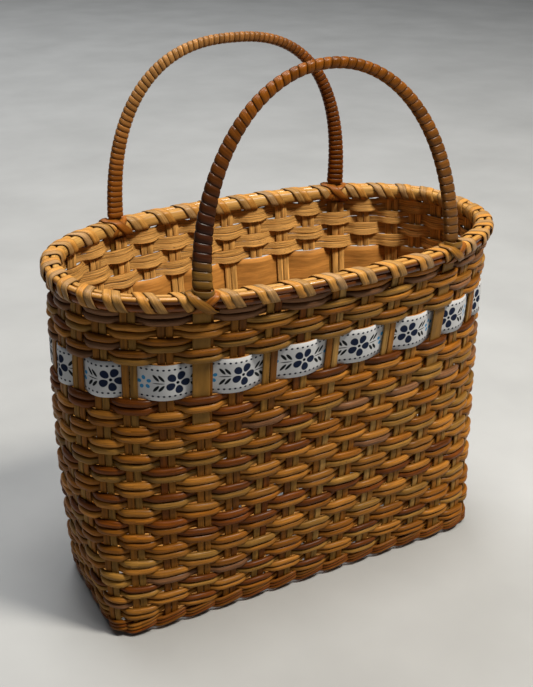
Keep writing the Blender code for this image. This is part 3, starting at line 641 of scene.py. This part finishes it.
def add_course(name, height, pitch, phase, weights):
    """One course: a pair of half-round reeds that close up between the stakes."""
    count = len(RING_PLACES)
    profile, nearest = weave_profile(RING_PLACES, phase)
    top = np.abs(profile)
    over_strip = np.isin(nearest % STAKE_COUNT, FEET) & (profile > 0)
    over_strip &= STRIP_END - STRIP_TAIL < height < RIM_BOTTOM
    reach = np.where(over_strip, HANDLE_WEAVE_REACH, WEAVE_REACH) * profile
    scale = pitch / COURSE_PITCH
    level = height + wander(RING_PLACES, height) + smooth_noise(count, 19, -0.00035, 0.00035)
    section, v = half_round()
    strands = []
    for side, reed_weights in zip((-1, 1), weights):
        offset = reach * (1 + 0.10 * smooth_noise(count, 38)) + 0.0001 * smooth_noise(count, 90)
        spread = (REED_SPREAD + SPREAD_GAIN * top) * scale + 0.00012 * smooth_noise(count, 76)
        reed_level = level + side * spread + smooth_noise(count, 76, -0.00022, 0.00022) * top
        width = (REED_WIDTH + WIDTH_GAIN * top) * scale
        thickness = (REED_THICKNESS + THICKNESS_GAIN * top) * (1 + 0.06 * smooth_noise(count, 50))
        lean = side * 0.08 + 0.12 * smooth_noise(count, 60)
        out, up = section[:, 0] * thickness[:, None], section[:, 1] * width[:, None]
        c, s = np.cos(lean)[:, None], np.sin(lean)[:, None]
        out, up = out * c - up * s * 0.5, up * c + out * s * 0.5
        sections = on_wall(RING_SHARES[:, None], reed_level[:, None] + up, offset[:, None] + out)
        u = lengths_of(sections.mean(1), True) + RNG.uniform(0, 9)
        # painted shade: each reed is darker between the stakes, where it turns in behind them
        tone = tone_of_passes(nearest, phase, reed_weights) * (0.84 + 0.16 * top)[:, None]
        tone = tone * (1 + 0.07 * smooth_noise(count, 90))[:, None]
        strands.append(strand(sections, tone, REED_PAINTED_SHADES, v, u))
    build(f"{name}_reeds", strands, WEAVER_MATERIAL, name)


for _row, _course in enumerate(COURSES):
    _weights = (DARK_REED_SHARES,) * 2 if _row in DARK_COURSES else (LOWER_REED_SHARES, UPPER_REED_SHARES)
    add_course(*_course, _weights)

# Band
PRINT_COUNT = 19
PRINT_PLACE = 3.17
BAND_REACH = 0.0022
BAND_ROWS = 7


def add_band():
    """Wood strip and printed ribbon, woven together over the odd stakes."""
    offset = BAND_REACH * np.cos(math.pi * (RING_PLACES - 1))
    level = BAND_LEVEL + wander(RING_PLACES, BAND_LEVEL)
    length = lengths_of(wall(RING_SHARES, BAND_LEVEL), True)
    whole = length[-1] * len(RING_PLACES) / (len(RING_PLACES) - 1)
    start = np.interp(PRINT_PLACE, RING_PLACES, length)
    # the print repeats a whole number of times and has a flower at PRINT_PLACE
    u_print = (length - start) / whole * PRINT_COUNT * PRINT_REPEAT / 1000
    # the outer face upwards, then the inner face down again
    rows = np.linspace(-0.5, 0.5, BAND_ROWS) * BAND_HEIGHT
    ups = np.concatenate([rows, rows[::-1]])
    sides = np.repeat([0.5, -0.5], BAND_ROWS)
    v = np.concatenate([np.linspace(0.0, 0.5, BAND_ROWS), np.linspace(0.502, 1.0, BAND_ROWS + 1)])
    curl = np.abs(ups / BAND_HEIGHT * 2) ** 3 * 0.00025
    for name, node, slot, material, u, out, thickness in (
            ("shaved_wood_strip", "band_backing_strip", "wood_strip", WOOD_MATERIAL, length,
             -0.00035, 0.0010),
            ("printed_ribbon", "band_ribbon", "printed_ribbon", RIBBON_MATERIAL, u_print,
             0.00055, 0.0004)):
        sections = on_wall(RING_SHARES[:, None], level[:, None] + ups,
                           offset[:, None] + out + sides * thickness - curl)
        tone = mix(WOOD, WOOD * 0.8, 0.5 + 0.5 * smooth_noise(len(RING_PLACES), 12))
        build(name, [strand(sections, tone, 1.0, v, u)], material, node)


add_band()

# Foot border
FOOT_FIRMNESS = 1.7
FOOT_REACH, FOOT_CLIMB = 0.0019, 0.0013
# Level of each reed of a strand, in steps of FOOT_STEP, and the half sizes of a reed
FOOT_REEDS, FOOT_STEP = (-1.9, -0.45, 1), 0.0018
FOOT_HALF_THICKNESS, FOOT_HALF_WIDTH = 0.0012, 0.00135


def add_foot_border():
    """Two strands twined round the foot of the stakes, each of three thin reeds."""
    count = len(RING_PLACES)
    angle = np.linspace(0, TAU, 9)[:-1]
    nearest = np.floor(RING_PLACES + 0.5).astype(int)
    crest = np.tanh(FOOT_FIRMNESS * np.cos(math.pi * (RING_PLACES - nearest))) / math.tanh(FOOT_FIRMNESS)
    tints = ((RUSSET, AMBER * 0.8, HONEY * 0.7), (AMBER * 0.7, RUSSET, AMBER * 0.7))
    for phase, node in enumerate(("foot_twine_strand_a", "foot_twine_strand_b")):
        offset = np.where((nearest + phase) % 2 == 0, 1, -1) * crest * FOOT_REACH
        climb = np.sin(math.pi * (RING_PLACES + phase)) * FOOT_CLIMB + 0.0003 * smooth_noise(count, 20)
        strands = []
        for place, tint in zip(FOOT_REEDS, tints[phase]):
            level = TWINE_LEVEL + climb + place * FOOT_STEP + 0.0002 * smooth_noise(count, 60)
            sections = on_wall(RING_SHARES[:, None], level[:, None] + np.sin(angle) * FOOT_HALF_WIDTH,
                               offset[:, None] + np.cos(angle) * FOOT_HALF_THICKNESS)
            tone = mix(tint, RUSSET, 0.3 + 0.3 * smooth_noise(count, 24))
            # v stays on the skin side all round
            strands.append(strand(sections, tone, v=np.linspace(0, 0.58, len(angle) + 1)))
        build(f"{node}_reed", strands, WEAVER_MATERIAL, node)


add_foot_border()

# Stakes. The short ones, and the handles' strips along the wall, end this far below the rim
BELOW_RIM = 0.0030
SHORT_TOP = RIM_BOTTOM - BELOW_RIM - FIT_GAP
LONG_TOP = RIM_TOP - CANE_RADIUS
# A stake under a handle's strip stands aside, so that it shows beside the strip
HANDLE_STAKE_ASIDE = 0.0019
WALL_STEPS, BEND_STEPS, WAVE_STEPS = 160, 6, 90
# Half the length of an overpass in the base, and what each half of a stake stops short of its bend
OVERPASS_HALF, BASE_STEP = 0.0050, 0.0005
STAKE_TONES = ((AMBER * 0.9, OLIVE * 0.75), (RUSSET, AMBER * 0.8), (AMBER, AMBER * 0.85),
               (AMBER * 0.8, RUSSET), (OLIVE, RUSSET), (RUSSET, OLIVE), (AMBER * 0.9, STRAW * 0.85),
               (OLIVE, AMBER), (STRAW * 0.8, HONEY), (OLIVE, HONEY), (STRAW * 0.8, AMBER), (AMBER, OLIVE),
               (OLIVE, AMBER))
END_STAKE_TONES = ((OLIVE * 0.8, AMBER * 0.8), (AMBER, OLIVE))
CROSS_X = np.array([wall(STAKES[i], BASE_LEVEL + BEND_RADIUS)[0] for i in range(LONG_SIDE_STAKES)])


def stake_bow(index, levels):
    """How far a stake is pushed in by a course outside it, or out by one inside it, at some levels."""
    knots = [(TWINE_LEVEL, 0.0)]
    for name, height, _, phase in COURSES:
        if name == "upper_weaver_01":
            for edge in (-0.30, 0.30):
                knots.append((BAND_LEVEL + edge * BAND_HEIGHT, 0.4 if index % 2 == 0 else -0.4))
        knots.append((height, -1.0 if (index + phase) % 2 == 0 else 1.0))
    knots.append((RIM_BOTTOM, 0.0))
    heights = np.array([height + wander(index, height) for height, _ in knots])
    return eased_between(levels, heights, np.array([value for _, value in knots]) * STAKE_BOW)


def wall_run(index, top):
    """Points and directions of one stake from the bend to its top."""
    levels = np.linspace(BASE_LEVEL + BEND_RADIUS, top, WALL_STEPS)
    return wall_line(STAKES[index], levels, stake_bow(index, levels))


def bend_run(point, direction):
    """Quarter turn from the flat base up into the wall: its points and its directions outwards."""
    turns = np.linspace(0, math.pi / 2, BEND_STEPS)[:-1]
    centre = np.array([*(point - direction * BEND_RADIUS), BASE_LEVEL + BEND_RADIUS])
    outs = np.outer(np.sin(turns), (*direction, 0.0)) + np.outer(np.cos(turns), (0.0, 0.0, -1.0))
    return centre + outs * BEND_RADIUS, outs


def stake_pieces(name, low, high, direction, top, tones, waves=None, aside=0.0):
    """A stake of two flat reeds: down one wall, across the base and up the other.

    waves are its heights over the crosswise stakes, for a lengthwise one that is woven between them."""
    base_along = np.array([abs(direction[1]), abs(direction[0]), 0.0])
    section = rounded_strip(STAKE_WIDTH / 2 - 0.00012, STAKE_THICKNESS)
    walls = ((*wall_run(low, top), -direction), (*wall_run(high, top), direction))
    strands = []
    for side, tint in zip((-1, 1), tones):
        shift = side * (STAKE_WIDTH / 4 + 0.00008) + aside
        runs = []
        for points, along, outs, way in walls:
            along = along * np.sign(along[0] @ base_along)
            bend_points, bend_outs = bend_run(points[0, :2], way)
            along = np.concatenate([np.repeat(along[:1], len(bend_points), 0), along])
            points = np.concatenate([bend_points, points]) + along * shift
            runs.append((points, along, np.concatenate([bend_outs, outs])))
        count = 2 if waves is None else WAVE_STEPS
        share = np.linspace(0, 1, count)[:, None]
        flat = ((runs[0][0][0, :2] + direction * BASE_STEP) * (1 - share)
                + (runs[1][0][0, :2] - direction * BASE_STEP) * share)
        height = BASE_LEVEL
        if waves is not None:
            knots = np.repeat(CROSS_X, 2) + np.tile([-OVERPASS_HALF, OVERPASS_HALF], LONG_SIDE_STAKES)
            height = BASE_LEVEL + np.interp(flat[:, 0], knots, np.repeat(waves, 2))
        base = (with_height(flat, height), np.repeat(runs[0][1][:1], count, 0),
                np.tile([0.0, 0.0, -1.0], (count, 1)))
        points, acrosses, outs = (np.concatenate([down[::-1], middle, up])
                                  for down, middle, up in zip(runs[0], base, runs[1]))
        tone = mix(tint, OLIVE * 0.8, 0.2 + 0.2 * smooth_noise(len(points), 9, closed=False))
        u = lengths_of(points) + RNG.uniform(0, 9)
        sections = swept(points, acrosses, outs, section)
        strands.append(strand(sections, tone, STRIP_PAINTED_SHADES, u=u, closed=False))
    build(f"{name}_reeds", strands, STAKE_MATERIAL, name)


def add_stakes():
    """Crosswise stakes from left to right, then lengthwise ones from front to back."""
    for number in range(LONG_SIDE_STAKES):
        back = STAKE_COUNT // 2 + LONG_SIDE_STAKES - 1 - number
        top, aside = (SHORT_TOP, HANDLE_STAKE_ASIDE) if number in FEET else (LONG_TOP, 0.0)
        stake_pieces(f"cross_stake_{number + 1:02d}", number, back, np.array([0.0, 1.0]), top,
                     STAKE_TONES[number], aside=aside)
    wave = STAKE_THICKNESS + FIT_GAP
    for number in range(END_STAKES):
        waves = [wave if (number + crossing) % 2 == 0 else -wave for crossing in range(LONG_SIDE_STAKES)]
        stake_pieces(f"end_stake_{number + 1:02d}", STAKE_COUNT - 1 - number, LONG_SIDE_STAKES + number,
                     np.array([1.0, 0.0]), LONG_TOP, END_STAKE_TONES[number % 2], waves)


add_stakes()

# Rim
RIM_STEPS = 456
CANE_SIDES = 16
HALF_ROUND_STEPS = 13


def rim_ring(section, tone, u_shift=0.0):
    """A section (m, 2) of out and height, carried all the way round."""
    share = np.arange(RIM_STEPS)[:, None] / RIM_STEPS
    wave = 0.00012 * smooth_noise(RIM_STEPS, 40)
    sections = on_wall(share, section[:, 1] + wave[:, None], section[:, 0])
    return strand(sections, tone, u=lengths_of(sections.mean(1), True) + u_shift)


def add_rim():
    """Two round canes outside the stakes and a half-round one inside, which closes over the stake tops."""
    # v starts at the inner side and runs over the bottom, the outside and the top
    angle = math.pi + np.linspace(0, TAU, CANE_SIDES + 1)[:-1]
    for node, name, level, light, material, slot in (
            ("rim_outer_cane_lower", "rim_lower_cane", RIM_BOTTOM + CANE_FLAT, (0.55, 1.9),
             RIM_LOW_MATERIAL, "rim_cane_red"),
            ("rim_outer_cane_upper", "rim_upper_cane", RIM_TOP - CANE_FLAT, (0.5, 1.6),
             RIM_MATERIAL, "rim_cane_dark")):
        section = np.column_stack([RIM_FACE + CANE_RADIUS + CANE_RADIUS * np.cos(angle),
                                   level + CANE_RADIUS * np.sin(angle)])
        tone = mix(RUSSET * light[0], RUSSET * light[1], 0.5 + 0.5 * smooth_noise(RIM_STEPS, 26))
        build(name, [rim_ring(section, tone)], material, node)
    middle, half = (RIM_BOTTOM + RIM_TOP) / 2, (RIM_TOP - RIM_BOTTOM) / 2
    outline = [(-RIM_FACE - INNER_THICKNESS * math.cos(a) ** 0.6, middle + half * math.sin(a))
               for a in np.linspace(-1, 1, HALF_ROUND_STEPS) * math.pi / 2]
    outline += [(-RIM_FACE + 0.0006, RIM_TOP - 0.0002), (-RIM_FACE + 0.0011, RIM_TOP - 0.0008),
                (-RIM_FACE + 0.0008, RIM_TOP - 0.0018), (-RIM_FACE, RIM_TOP - 0.0023),
                (-RIM_FACE, RIM_BOTTOM + 0.0004)]
    tone = mix(STRAW * 0.9, GOLD, 0.5 + 0.5 * smooth_noise(RIM_STEPS, 30))
    build("rim_inner_cane", [rim_ring(np.array(outline), tone, 3.0)], HALF_ROUND_MATERIAL,
          "rim_inner_half_round")


add_rim()

# Lashing and knots. Each cane follows a smooth outline round the whole rim
HULL_STEPS, HULL_CLEARANCE, HULL_ROUNDNESS = 44, 0.0002, 2 / 3.4
HULL_SHARE = np.linspace(0, 1, HULL_STEPS + 1)
LASHING_CANE_WIDTH, LASHING_CANE_THICKNESS = 0.0054, 0.0009
# Half the distance between the two canes of a gap, and the distance between stakes at the rim
LASHING_SPREAD = 0.00285
LONG_RIM_PITCH, END_RIM_PITCH = 0.0228, 0.0185
# How far a lashing cane leans along the rim, counted in stakes
LASHING_LEAN = 0.80
KNOT_THICKNESS, KNOT_SWING = 0.0010, 0.30


def rim_hull():
    """Offsets (out, height) and directions outwards, from the bottom out, up, over and down the inside."""
    outer, inner = RIM_FACE + 2 * CANE_RADIUS, -RIM_FACE - INNER_THICKNESS
    centre = np.array([(outer + inner) / 2, (RIM_BOTTOM + RIM_TOP) / 2])
    half = np.array([(outer - inner) / 2, (RIM_TOP - RIM_BOTTOM) / 2]) + HULL_CLEARANCE
    angle = -math.pi / 2 + np.linspace(0, TAU, 721)
    line = centre + np.column_stack(rounded(np.cos(angle), np.sin(angle), HULL_ROUNDNESS)) * half
    lengths = lengths_of(line)
    points = sampled(line, lengths, np.linspace(0, lengths[-1], HULL_STEPS + 1)[:-1])
    way = unit(np.roll(points, -1, 0) - np.roll(points, 1, 0))
    again = np.arange(HULL_STEPS + 1) % HULL_STEPS
    return points[again], np.column_stack([way[:, 1], -way[:, 0]])[again]


HULL_POINTS, HULL_NORMALS = rim_hull()


def cane_round_rim(places, width, thickness, tint, variation, cycles, lift, crown):
    """Flat cane round the rim at places counted in stakes, one for each point of the hull."""
    tone = tint * (1 + variation * smooth_noise(HULL_STEPS + 1, cycles, closed=False))[:, None]
    share = place_share(places)
    out, height = HULL_POINTS.T
    normal = with_height(wall_frame(share, height)[2])
    outs = normal * HULL_NORMALS[:, 0:1] + np.array([0.0, 0.0, 1.0]) * HULL_NORMALS[:, 1:2]
    base = on_wall(share, height, out)
    across = unit(np.cross(outs, unit(np.gradient(base, axis=0))))
    base = base + outs * (lift + thickness / 2)[:, None]
    section = np.column_stack([
        np.array([-0.5, -0.47, -0.25, 0.0, 0.25, 0.47, 0.5, 0.3, -0.3]) * width,
        np.array([-0.2, 0.25, 0.5, 0.5 + crown, 0.5, 0.25, -0.2, -0.5, -0.5]) * thickness])
    return strand(swept(base, across, outs, section), tone, BAND_PAINTED_SHADES,
                  u=lengths_of(base) + RNG.uniform(0, 9), closed=False)


def add_lashing():
    """Two canes for each gap between stakes, in four runs between the handle feet."""
    names = ("rim_lashing_front", "rim_lashing_right", "rim_lashing_back", "rim_lashing_left")
    # the canes lean one way all round, and step back under the rim
    advance = LASHING_LEAN * (0.5 - np.clip((HULL_SHARE - 0.06) / 0.88, 0, 1))
    for name, low, high in zip(names, FEET, FEET[1:] + (FEET[0] + STAKE_COUNT,)):
        pitch = LONG_RIM_PITCH if name.endswith(("front", "back")) else END_RIM_PITCH
        strands = []
        for gap in range(low, high):
            middle = gap + 0.5 + RNG.uniform(-0.03, 0.03)
            tints = (mix(GOLD * 1.2, HONEY * 1.15, RNG.uniform(0, 0.6)),
                     mix(BEIGE * 1.15, OLIVE * 1.1, RNG.uniform(0, 0.7)))
            for side, tint in zip((-1, 1), tints):
                places = middle + advance + side * LASHING_SPREAD / pitch
                lift = np.full(HULL_STEPS + 1, 0.00008 * RNG.uniform(0, 1))
                strands.append(cane_round_rim(places, LASHING_CANE_WIDTH, LASHING_CANE_THICKNESS, tint,
                                              0.10, 6, lift, 0.15))
        build(f"{name}_canes", strands, LASHING_MATERIAL, name)


def add_knots():
    """Two straps that cross in front of each handle foot, from one side at the top to the other below."""
    swing = np.interp(HULL_SHARE, [0.0, 0.10, 0.36, 0.50, 0.86, 1.0],
                      np.array([-1, -1, 1, 1.2, -1, -1]) * KNOT_SWING)
    rise = np.interp(HULL_SHARE, [0.0, 0.08, 0.22, 0.36, 0.5, 1.0], [0, 0.0004, 0.0013, 0.0006, 0.0, 0.0])
    nodes = ("knot_front_left", "knot_front_right", "knot_back_right", "knot_back_left")
    for node, foot in zip(nodes, FEET):
        front = foot < LONG_SIDE_STAKES
        turn = 1 if front else -1
        upper = mix(AMBER * 0.9, OLIVE * 0.9, 0.55) if front else ORANGE * 0.9
        # way round, tint, lift and width of the upper and the lower strap
        straps = ((turn, upper, 0.0010, 0.0058), (-turn, ORANGE, 0.0, 0.0050))
        strands = [cane_round_rim(foot - way * swing, width, KNOT_THICKNESS, tint, 0.15, 5,
                                  rise + lift, 0.35) for way, tint, lift, width in straps]
        build(f"{node}_straps", strands, LASHING_MATERIAL, node)


add_lashing()
add_knots()

# Handles
HANDLE_FOOT_WIDTH, HANDLE_CROWN_WIDTH, HANDLE_FOOT_RISE = 0.0102, 0.0046, 0.0030
ARCH_POINTS, ARCH_STEPS = 4001, 700
STEPS_PER_TURN = 22
# Half thickness of the winding at the foot and what it gains at the crown, and its roundness
WINDING_HALF, WINDING_HALF_GAIN, WINDING_ROUNDNESS = 0.0017, 0.0003, 0.72
# Where the corners of a flat cane's section lie across it, the outer face first, and how far each stands
# proud in the winding and in a turn round a leg and the rim's canes
FLAT_PLACES = (-0.50, -0.47, -0.33, 0.0, 0.33, 0.47, 0.50, 0.3, -0.3)
WINDING_PROUD = (0.0003, 0.0007, 0.0010, 0.0011, 0.0010, 0.0007, 0.0003, 0.0, 0.0)
COLLAR_PROUD = (0.0002, 0.0005, 0.0008, 0.0009, 0.0008, 0.0005, 0.0002, -0.0001, -0.0001)
COLLAR_STEPS, COLLAR_HALF_WIDTH, COLLAR_BAND_WIDTH, COLLAR_ROUNDNESS = 25, 0.0058, 0.0046, 0.6
# The core fills this share of the winding's width, and has a section every CORE_STEP steps of the arch
CORE_THICKNESS, CORE_FIT, CORE_STEP = 0.0030, 0.94, 8
STRIP_STEPS, RIM_PASS_STEPS = 80, 6
# The strip lies this far out of the wall's middle line, and this far to the left of its stake
STRIP_OUT, STRIP_ASIDE = 0.0015, 0.0007


def arch(feet, rise, roundness, lean):
    """A handle's middle line between two feet, as in the CAD.

    Gives its points, its directions outwards and across, its width and its share of the rise."""
    ends, outward = [], []
    for foot in feet:
        point, _, normal = wall_frame(STAKES[foot], RIM_TOP)
        ends.append(np.array([*point, RIM_TOP]))
        outward.append(np.array([*normal, 0.0]))
    middle, half = (ends[0] + ends[1]) / 2, (ends[0] - ends[1]) / 2
    through = np.sign(middle[1]) * np.array([0.0, 1.0, 0.0])
    angle = np.linspace(0.0, math.pi, ARCH_POINTS)
    across, up = rounded(np.cos(angle), np.sin(angle), roundness)
    dense = middle + np.outer(across, half) - np.outer(up * lean, through)
    dense[:, 2] += up * rise + HANDLE_FOOT_RISE
    lengths = lengths_of(dense)
    wanted = np.linspace(0.0, lengths[-1], ARCH_STEPS)
    points, up = sampled(dense, lengths, wanted), np.interp(wanted, lengths, up)
    tangents = np.gradient(points, axis=0)
    tangents[0], tangents[-1] = (0.0, 0.0, 1.0), (0.0, 0.0, -1.0)
    tangents = unit(tangents)
    foot = np.repeat(outward, ARCH_STEPS // 2, axis=0)
    outs = foot * (1 - up[:, None]) + through * up[:, None]
    outs = unit(outs - tangents * (outs * tangents).sum(1, keepdims=True))
    width = HANDLE_FOOT_WIDTH + (HANDLE_CROWN_WIDTH - HANDLE_FOOT_WIDTH) * up
    return points, outs, np.cross(outs, tangents), width, up


def at(values, where):
    """Values along the arch at a share of its length."""
    even = np.linspace(0, 1, ARCH_STEPS)
    return np.interp(where, even, values) if values.ndim == 1 else sampled(values, even, where)


def collar(foot, level, tint):
    """A turn of the winding that goes round the leg and the rim's canes, its visible half."""
    angle = np.linspace(math.pi, 0.0, COLLAR_STEPS)
    c, s = np.cos(angle), np.sin(angle)
    half_depth = RIM_FACE + 2 * CANE_RADIUS + 0.0002
    round_x, round_y = rounded(c, s, COLLAR_ROUNDNESS)
    along, out = COLLAR_HALF_WIDTH * round_x, half_depth * round_y
    turn = unit(np.column_stack([c / COLLAR_HALF_WIDTH, s / half_depth]))
    sections = np.stack([on_wall(STAKES[foot], level + up * COLLAR_BAND_WIDTH - along * 0.10,
                                 out + proud * turn[:, 1], along + proud * turn[:, 0])
                         for up, proud in zip(FLAT_PLACES, COLLAR_PROUD)], 1)
    return strand(sections, np.tile(tint, (COLLAR_STEPS, 1)), BAND_PAINTED_SHADES,
                  u=lengths_of(sections[:, 3]), closed=False)


def add_winding(name, line, turns, tints, olive_turns, start, collars):
    """One long flat cane wound round the handle, which bulges in each turn.

    start is its angle at the first foot. Its first turns may be olive, and collars are feet whose legs are
    bound to the rim, each with its tint."""
    points, outs, acrosses, width, share_up = line
    steps = turns * STEPS_PER_TURN + 1
    place = np.linspace(0.0, 1.0, steps)
    pitch = 1 / turns
    # seen from outside, the turns descend to the right; they start and end on the hidden side
    angle = start - place * turns * TAU
    c, s = np.cos(angle), np.sin(angle)
    round_x, round_y = rounded(c, s, WINDING_ROUNDNESS)
    jitter = smooth_noise(steps, turns, closed=False)
    sections = []
    for offset, proud in zip(FLAT_PLACES, WINDING_PROUD):
        # the outer face strays a little, and the inner one lies closer to the handle's middle line
        stray, scale = (0.02, 1.0) if proud else (0.0, 0.97)
        where = place + offset * pitch * (1 + stray * jitter)
        half_w, half_t = at(width, where) / 2, WINDING_HALF + WINDING_HALF_GAIN * at(share_up, where)
        turn = unit(np.column_stack([c / half_w, s / half_t]))
        x = (half_w * round_x + proud * turn[:, 0]) * scale
        y = (half_t * round_y + proud * turn[:, 1]) * scale
        sections.append(at(points, where) + at(acrosses, where) * x[:, None] + at(outs, where) * y[:, None])
    sections = np.stack(sections, 1)
    shade = RNG.uniform(0.76, 1.22, turns + 1)[np.floor(place * turns).astype(int)]
    tone = tints(place) * shade[:, None]
    if olive_turns:
        tone = mix(tone, OLIVE * 0.55, np.clip(olive_turns - place * turns, 0, 1))
    strands = [strand(sections, tone, BAND_PAINTED_SHADES, u=lengths_of(sections[:, 3]), closed=False)]
    for foot, tint in collars:
        strands += [collar(foot, RIM_TOP + 0.0016, tint), collar(foot, RIM_TOP - 0.0033, tint * 0.9)]
    build(f"{name}_winding", strands, WRAP_MATERIAL, f"{name}_wrap")


def add_core(name, feet, line):
    """A flat strip on the outside of a stake, up through the rim and inside the winding, and down again."""
    points, outs, acrosses, width, _ = line
    strip = rounded_strip(STRIP_WIDTH, STRIP_THICKNESS)
    section = rounded_strip(STRIP_WIDTH, CORE_THICKNESS, 0.25)
    levels = np.concatenate([np.linspace(STRIP_END, RIM_BOTTOM - BELOW_RIM, STRIP_STEPS),
                             np.linspace(RIM_BOTTOM, RIM_TOP + 0.0010, RIM_PASS_STEPS)])
    legs = []
    for foot in feet:
        out = np.append(STRIP_OUT + stake_bow(foot, levels[:STRIP_STEPS]), np.zeros(RIM_PASS_STEPS))
        left = -1 if foot < LONG_SIDE_STAKES else 1
        legs.append(wall_line(STAKES[foot], levels, out, left * STRIP_ASIDE))
    inner = slice(CORE_STEP - 2, ARCH_STEPS - CORE_STEP + 2, CORE_STEP)
    body_section = np.repeat(section[None], len(points[inner]), 0)
    body_section[..., 0] *= (width[inner] / STRIP_WIDTH * CORE_FIT)[:, None]
    body = swept(points[inner], -acrosses[inner], outs[inner], body_section)
    centre, tangent, normal = legs[1]
    last = swept(centre, -tangent, normal, strip)[::-1]
    sections = np.concatenate([swept(*legs[0], strip), body, last])
    tone = mix(OLIVE * 0.72, OLIVE * 0.95, 0.5 + 0.5 * smooth_noise(len(sections), 16, closed=False))
    build(f"{name}_cane", [strand(sections, tone, closed=False)], STRIP_MATERIAL, f"{name}_core")


def front_tints(place):
    """Dark at the left foot, red-brown on the left of the arch and greyer on its right."""
    left = mix(CHESTNUT, mix(RUSSET, AMBER * 0.8, 0.4), np.clip((place - 0.12) * 4, 0, 1))
    return mix(left, mix(OLIVE, MAUVE, 0.5) * 0.48, np.clip((place - 0.55) * 2.2, 0, 1) * 0.8)


def back_tints(place):
    """Red-brown at the right, where this handle starts, golden at the crown and orange at the left."""
    rise = mix(RUSSET * 0.9, mix(HONEY, BEIGE, 0.5), np.clip((place - 0.30) * 3.0, 0, 1))
    return mix(rise, ORANGE * 0.85, np.clip((place - 0.72) * 5.0, 0, 1))


def add_handle(name, feet, rise, roundness, lean, *winding):
    line = arch(feet, rise, roundness, lean)
    add_winding(name, line, *winding)
    add_core(name, feet, line)


add_handle("front_handle", FEET[:2], 0.117, 0.976, 0.012, 60, front_tints, 3.0, -math.pi / 2,
           ((FEET[0], OLIVE * 0.5), (FEET[1], OLIVE * 0.7)))
add_handle("back_handle", FEET[2:], 0.113, 0.816, 0.007, 88, back_tints, 0, math.pi / 2, ())

# Stage
FLOOR_HALF = 12.0
# Size of the photograph in pixels, the point of it on the camera's axis, and the focal length in pixels
IMAGE_WIDTH, IMAGE_HEIGHT = 533, 687
AXIS_X, AXIS_Y = 260.3, 355.9
FOCAL_LENGTH = 1020.9
CAMERA_PLACE = (-0.305, -0.565, 0.478)
CAMERA_DOWN, CAMERA_RIGHT = 0.462, 0.477
SENSOR = 36.0


def add_floor():
    mesh = bpy.data.meshes.new("floor")
    corners = [(x * FLOOR_HALF, y * FLOOR_HALF, 0) for x, y in ((-1, -1), (1, -1), (1, 1), (-1, 1))]
    mesh.from_pydata(corners, [], [(0, 1, 2, 3)])
    floor = bpy.data.objects.new("floor", mesh)
    bpy.context.scene.collection.objects.link(floor)
    material, shader, n = new_material("pale_floor", 0.75, 0.0, 0.3)
    cloud = n.noise(n.add("ShaderNodeNewGeometry").outputs["Position"], 6.0, 4.0)
    colour = n.blend(n.span(cloud, *NOISE_RANGE), rgba(FLOOR_DARK), rgba(FLOOR_LIGHT))
    n.put(shader.inputs["Base Color"], colour)
    mesh.materials.append(material)


def add_light(name, place, aim, size, energy, colour):
    """A round lamp that faces the point it is aimed at."""
    data = bpy.data.lights.new(name, "AREA")
    data.shape = "DISK"
    data.size = size
    data.energy = energy
    data.color = colour
    lamp = bpy.data.objects.new(name, data)
    lamp.location = place
    lamp.rotation_euler = (Vector(aim) - Vector(place)).to_track_quat("-Z", "Y").to_euler()
    bpy.context.scene.collection.objects.link(lamp)


def add_world():
    """Faint light from all round, and the colours as they are."""
    world = bpy.data.worlds.new("studio")
    world.use_nodes = True
    background = world.node_tree.nodes["Background"]
    background.inputs["Color"].default_value = (0.80, 0.84, 0.90, 1.0)
    background.inputs["Strength"].default_value = 0.10
    bpy.context.scene.world = world
    bpy.context.scene.view_settings.view_transform = "Standard"


def add_camera():
    """Camera at the photograph's angle. Its sensor lies along the taller side of the picture."""
    data = bpy.data.cameras.new("camera")
    data.sensor_width = SENSOR
    data.lens = FOCAL_LENGTH / IMAGE_HEIGHT * SENSOR
    data.shift_x = (IMAGE_WIDTH / 2 - AXIS_X) / IMAGE_HEIGHT
    data.shift_y = (AXIS_Y - IMAGE_HEIGHT / 2) / IMAGE_HEIGHT
    data.clip_end = 60.0
    camera = bpy.data.objects.new("camera", data)
    camera.location = CAMERA_PLACE
    camera.rotation_euler = (math.pi / 2 - CAMERA_DOWN, 0.0, -CAMERA_RIGHT)
    bpy.context.scene.collection.objects.link(camera)
    bpy.context.scene.camera = camera


add_floor()
add_light("key", (0.64, -0.74, 1.80), (0.0, 0.0, 0.12), 0.40, 50.0, (1.0, 0.94, 0.84))
add_light("top", (0.02, -0.10, 1.85), (0.0, 0.0, 0.15), 0.5, 16.0, (1.0, 0.98, 0.95))
add_light("far", (0.0, 1.80, 2.5), (0.0, 1.85, 0.0), 2.2, 66.0, (0.97, 0.985, 1.0))
add_world()
add_camera()
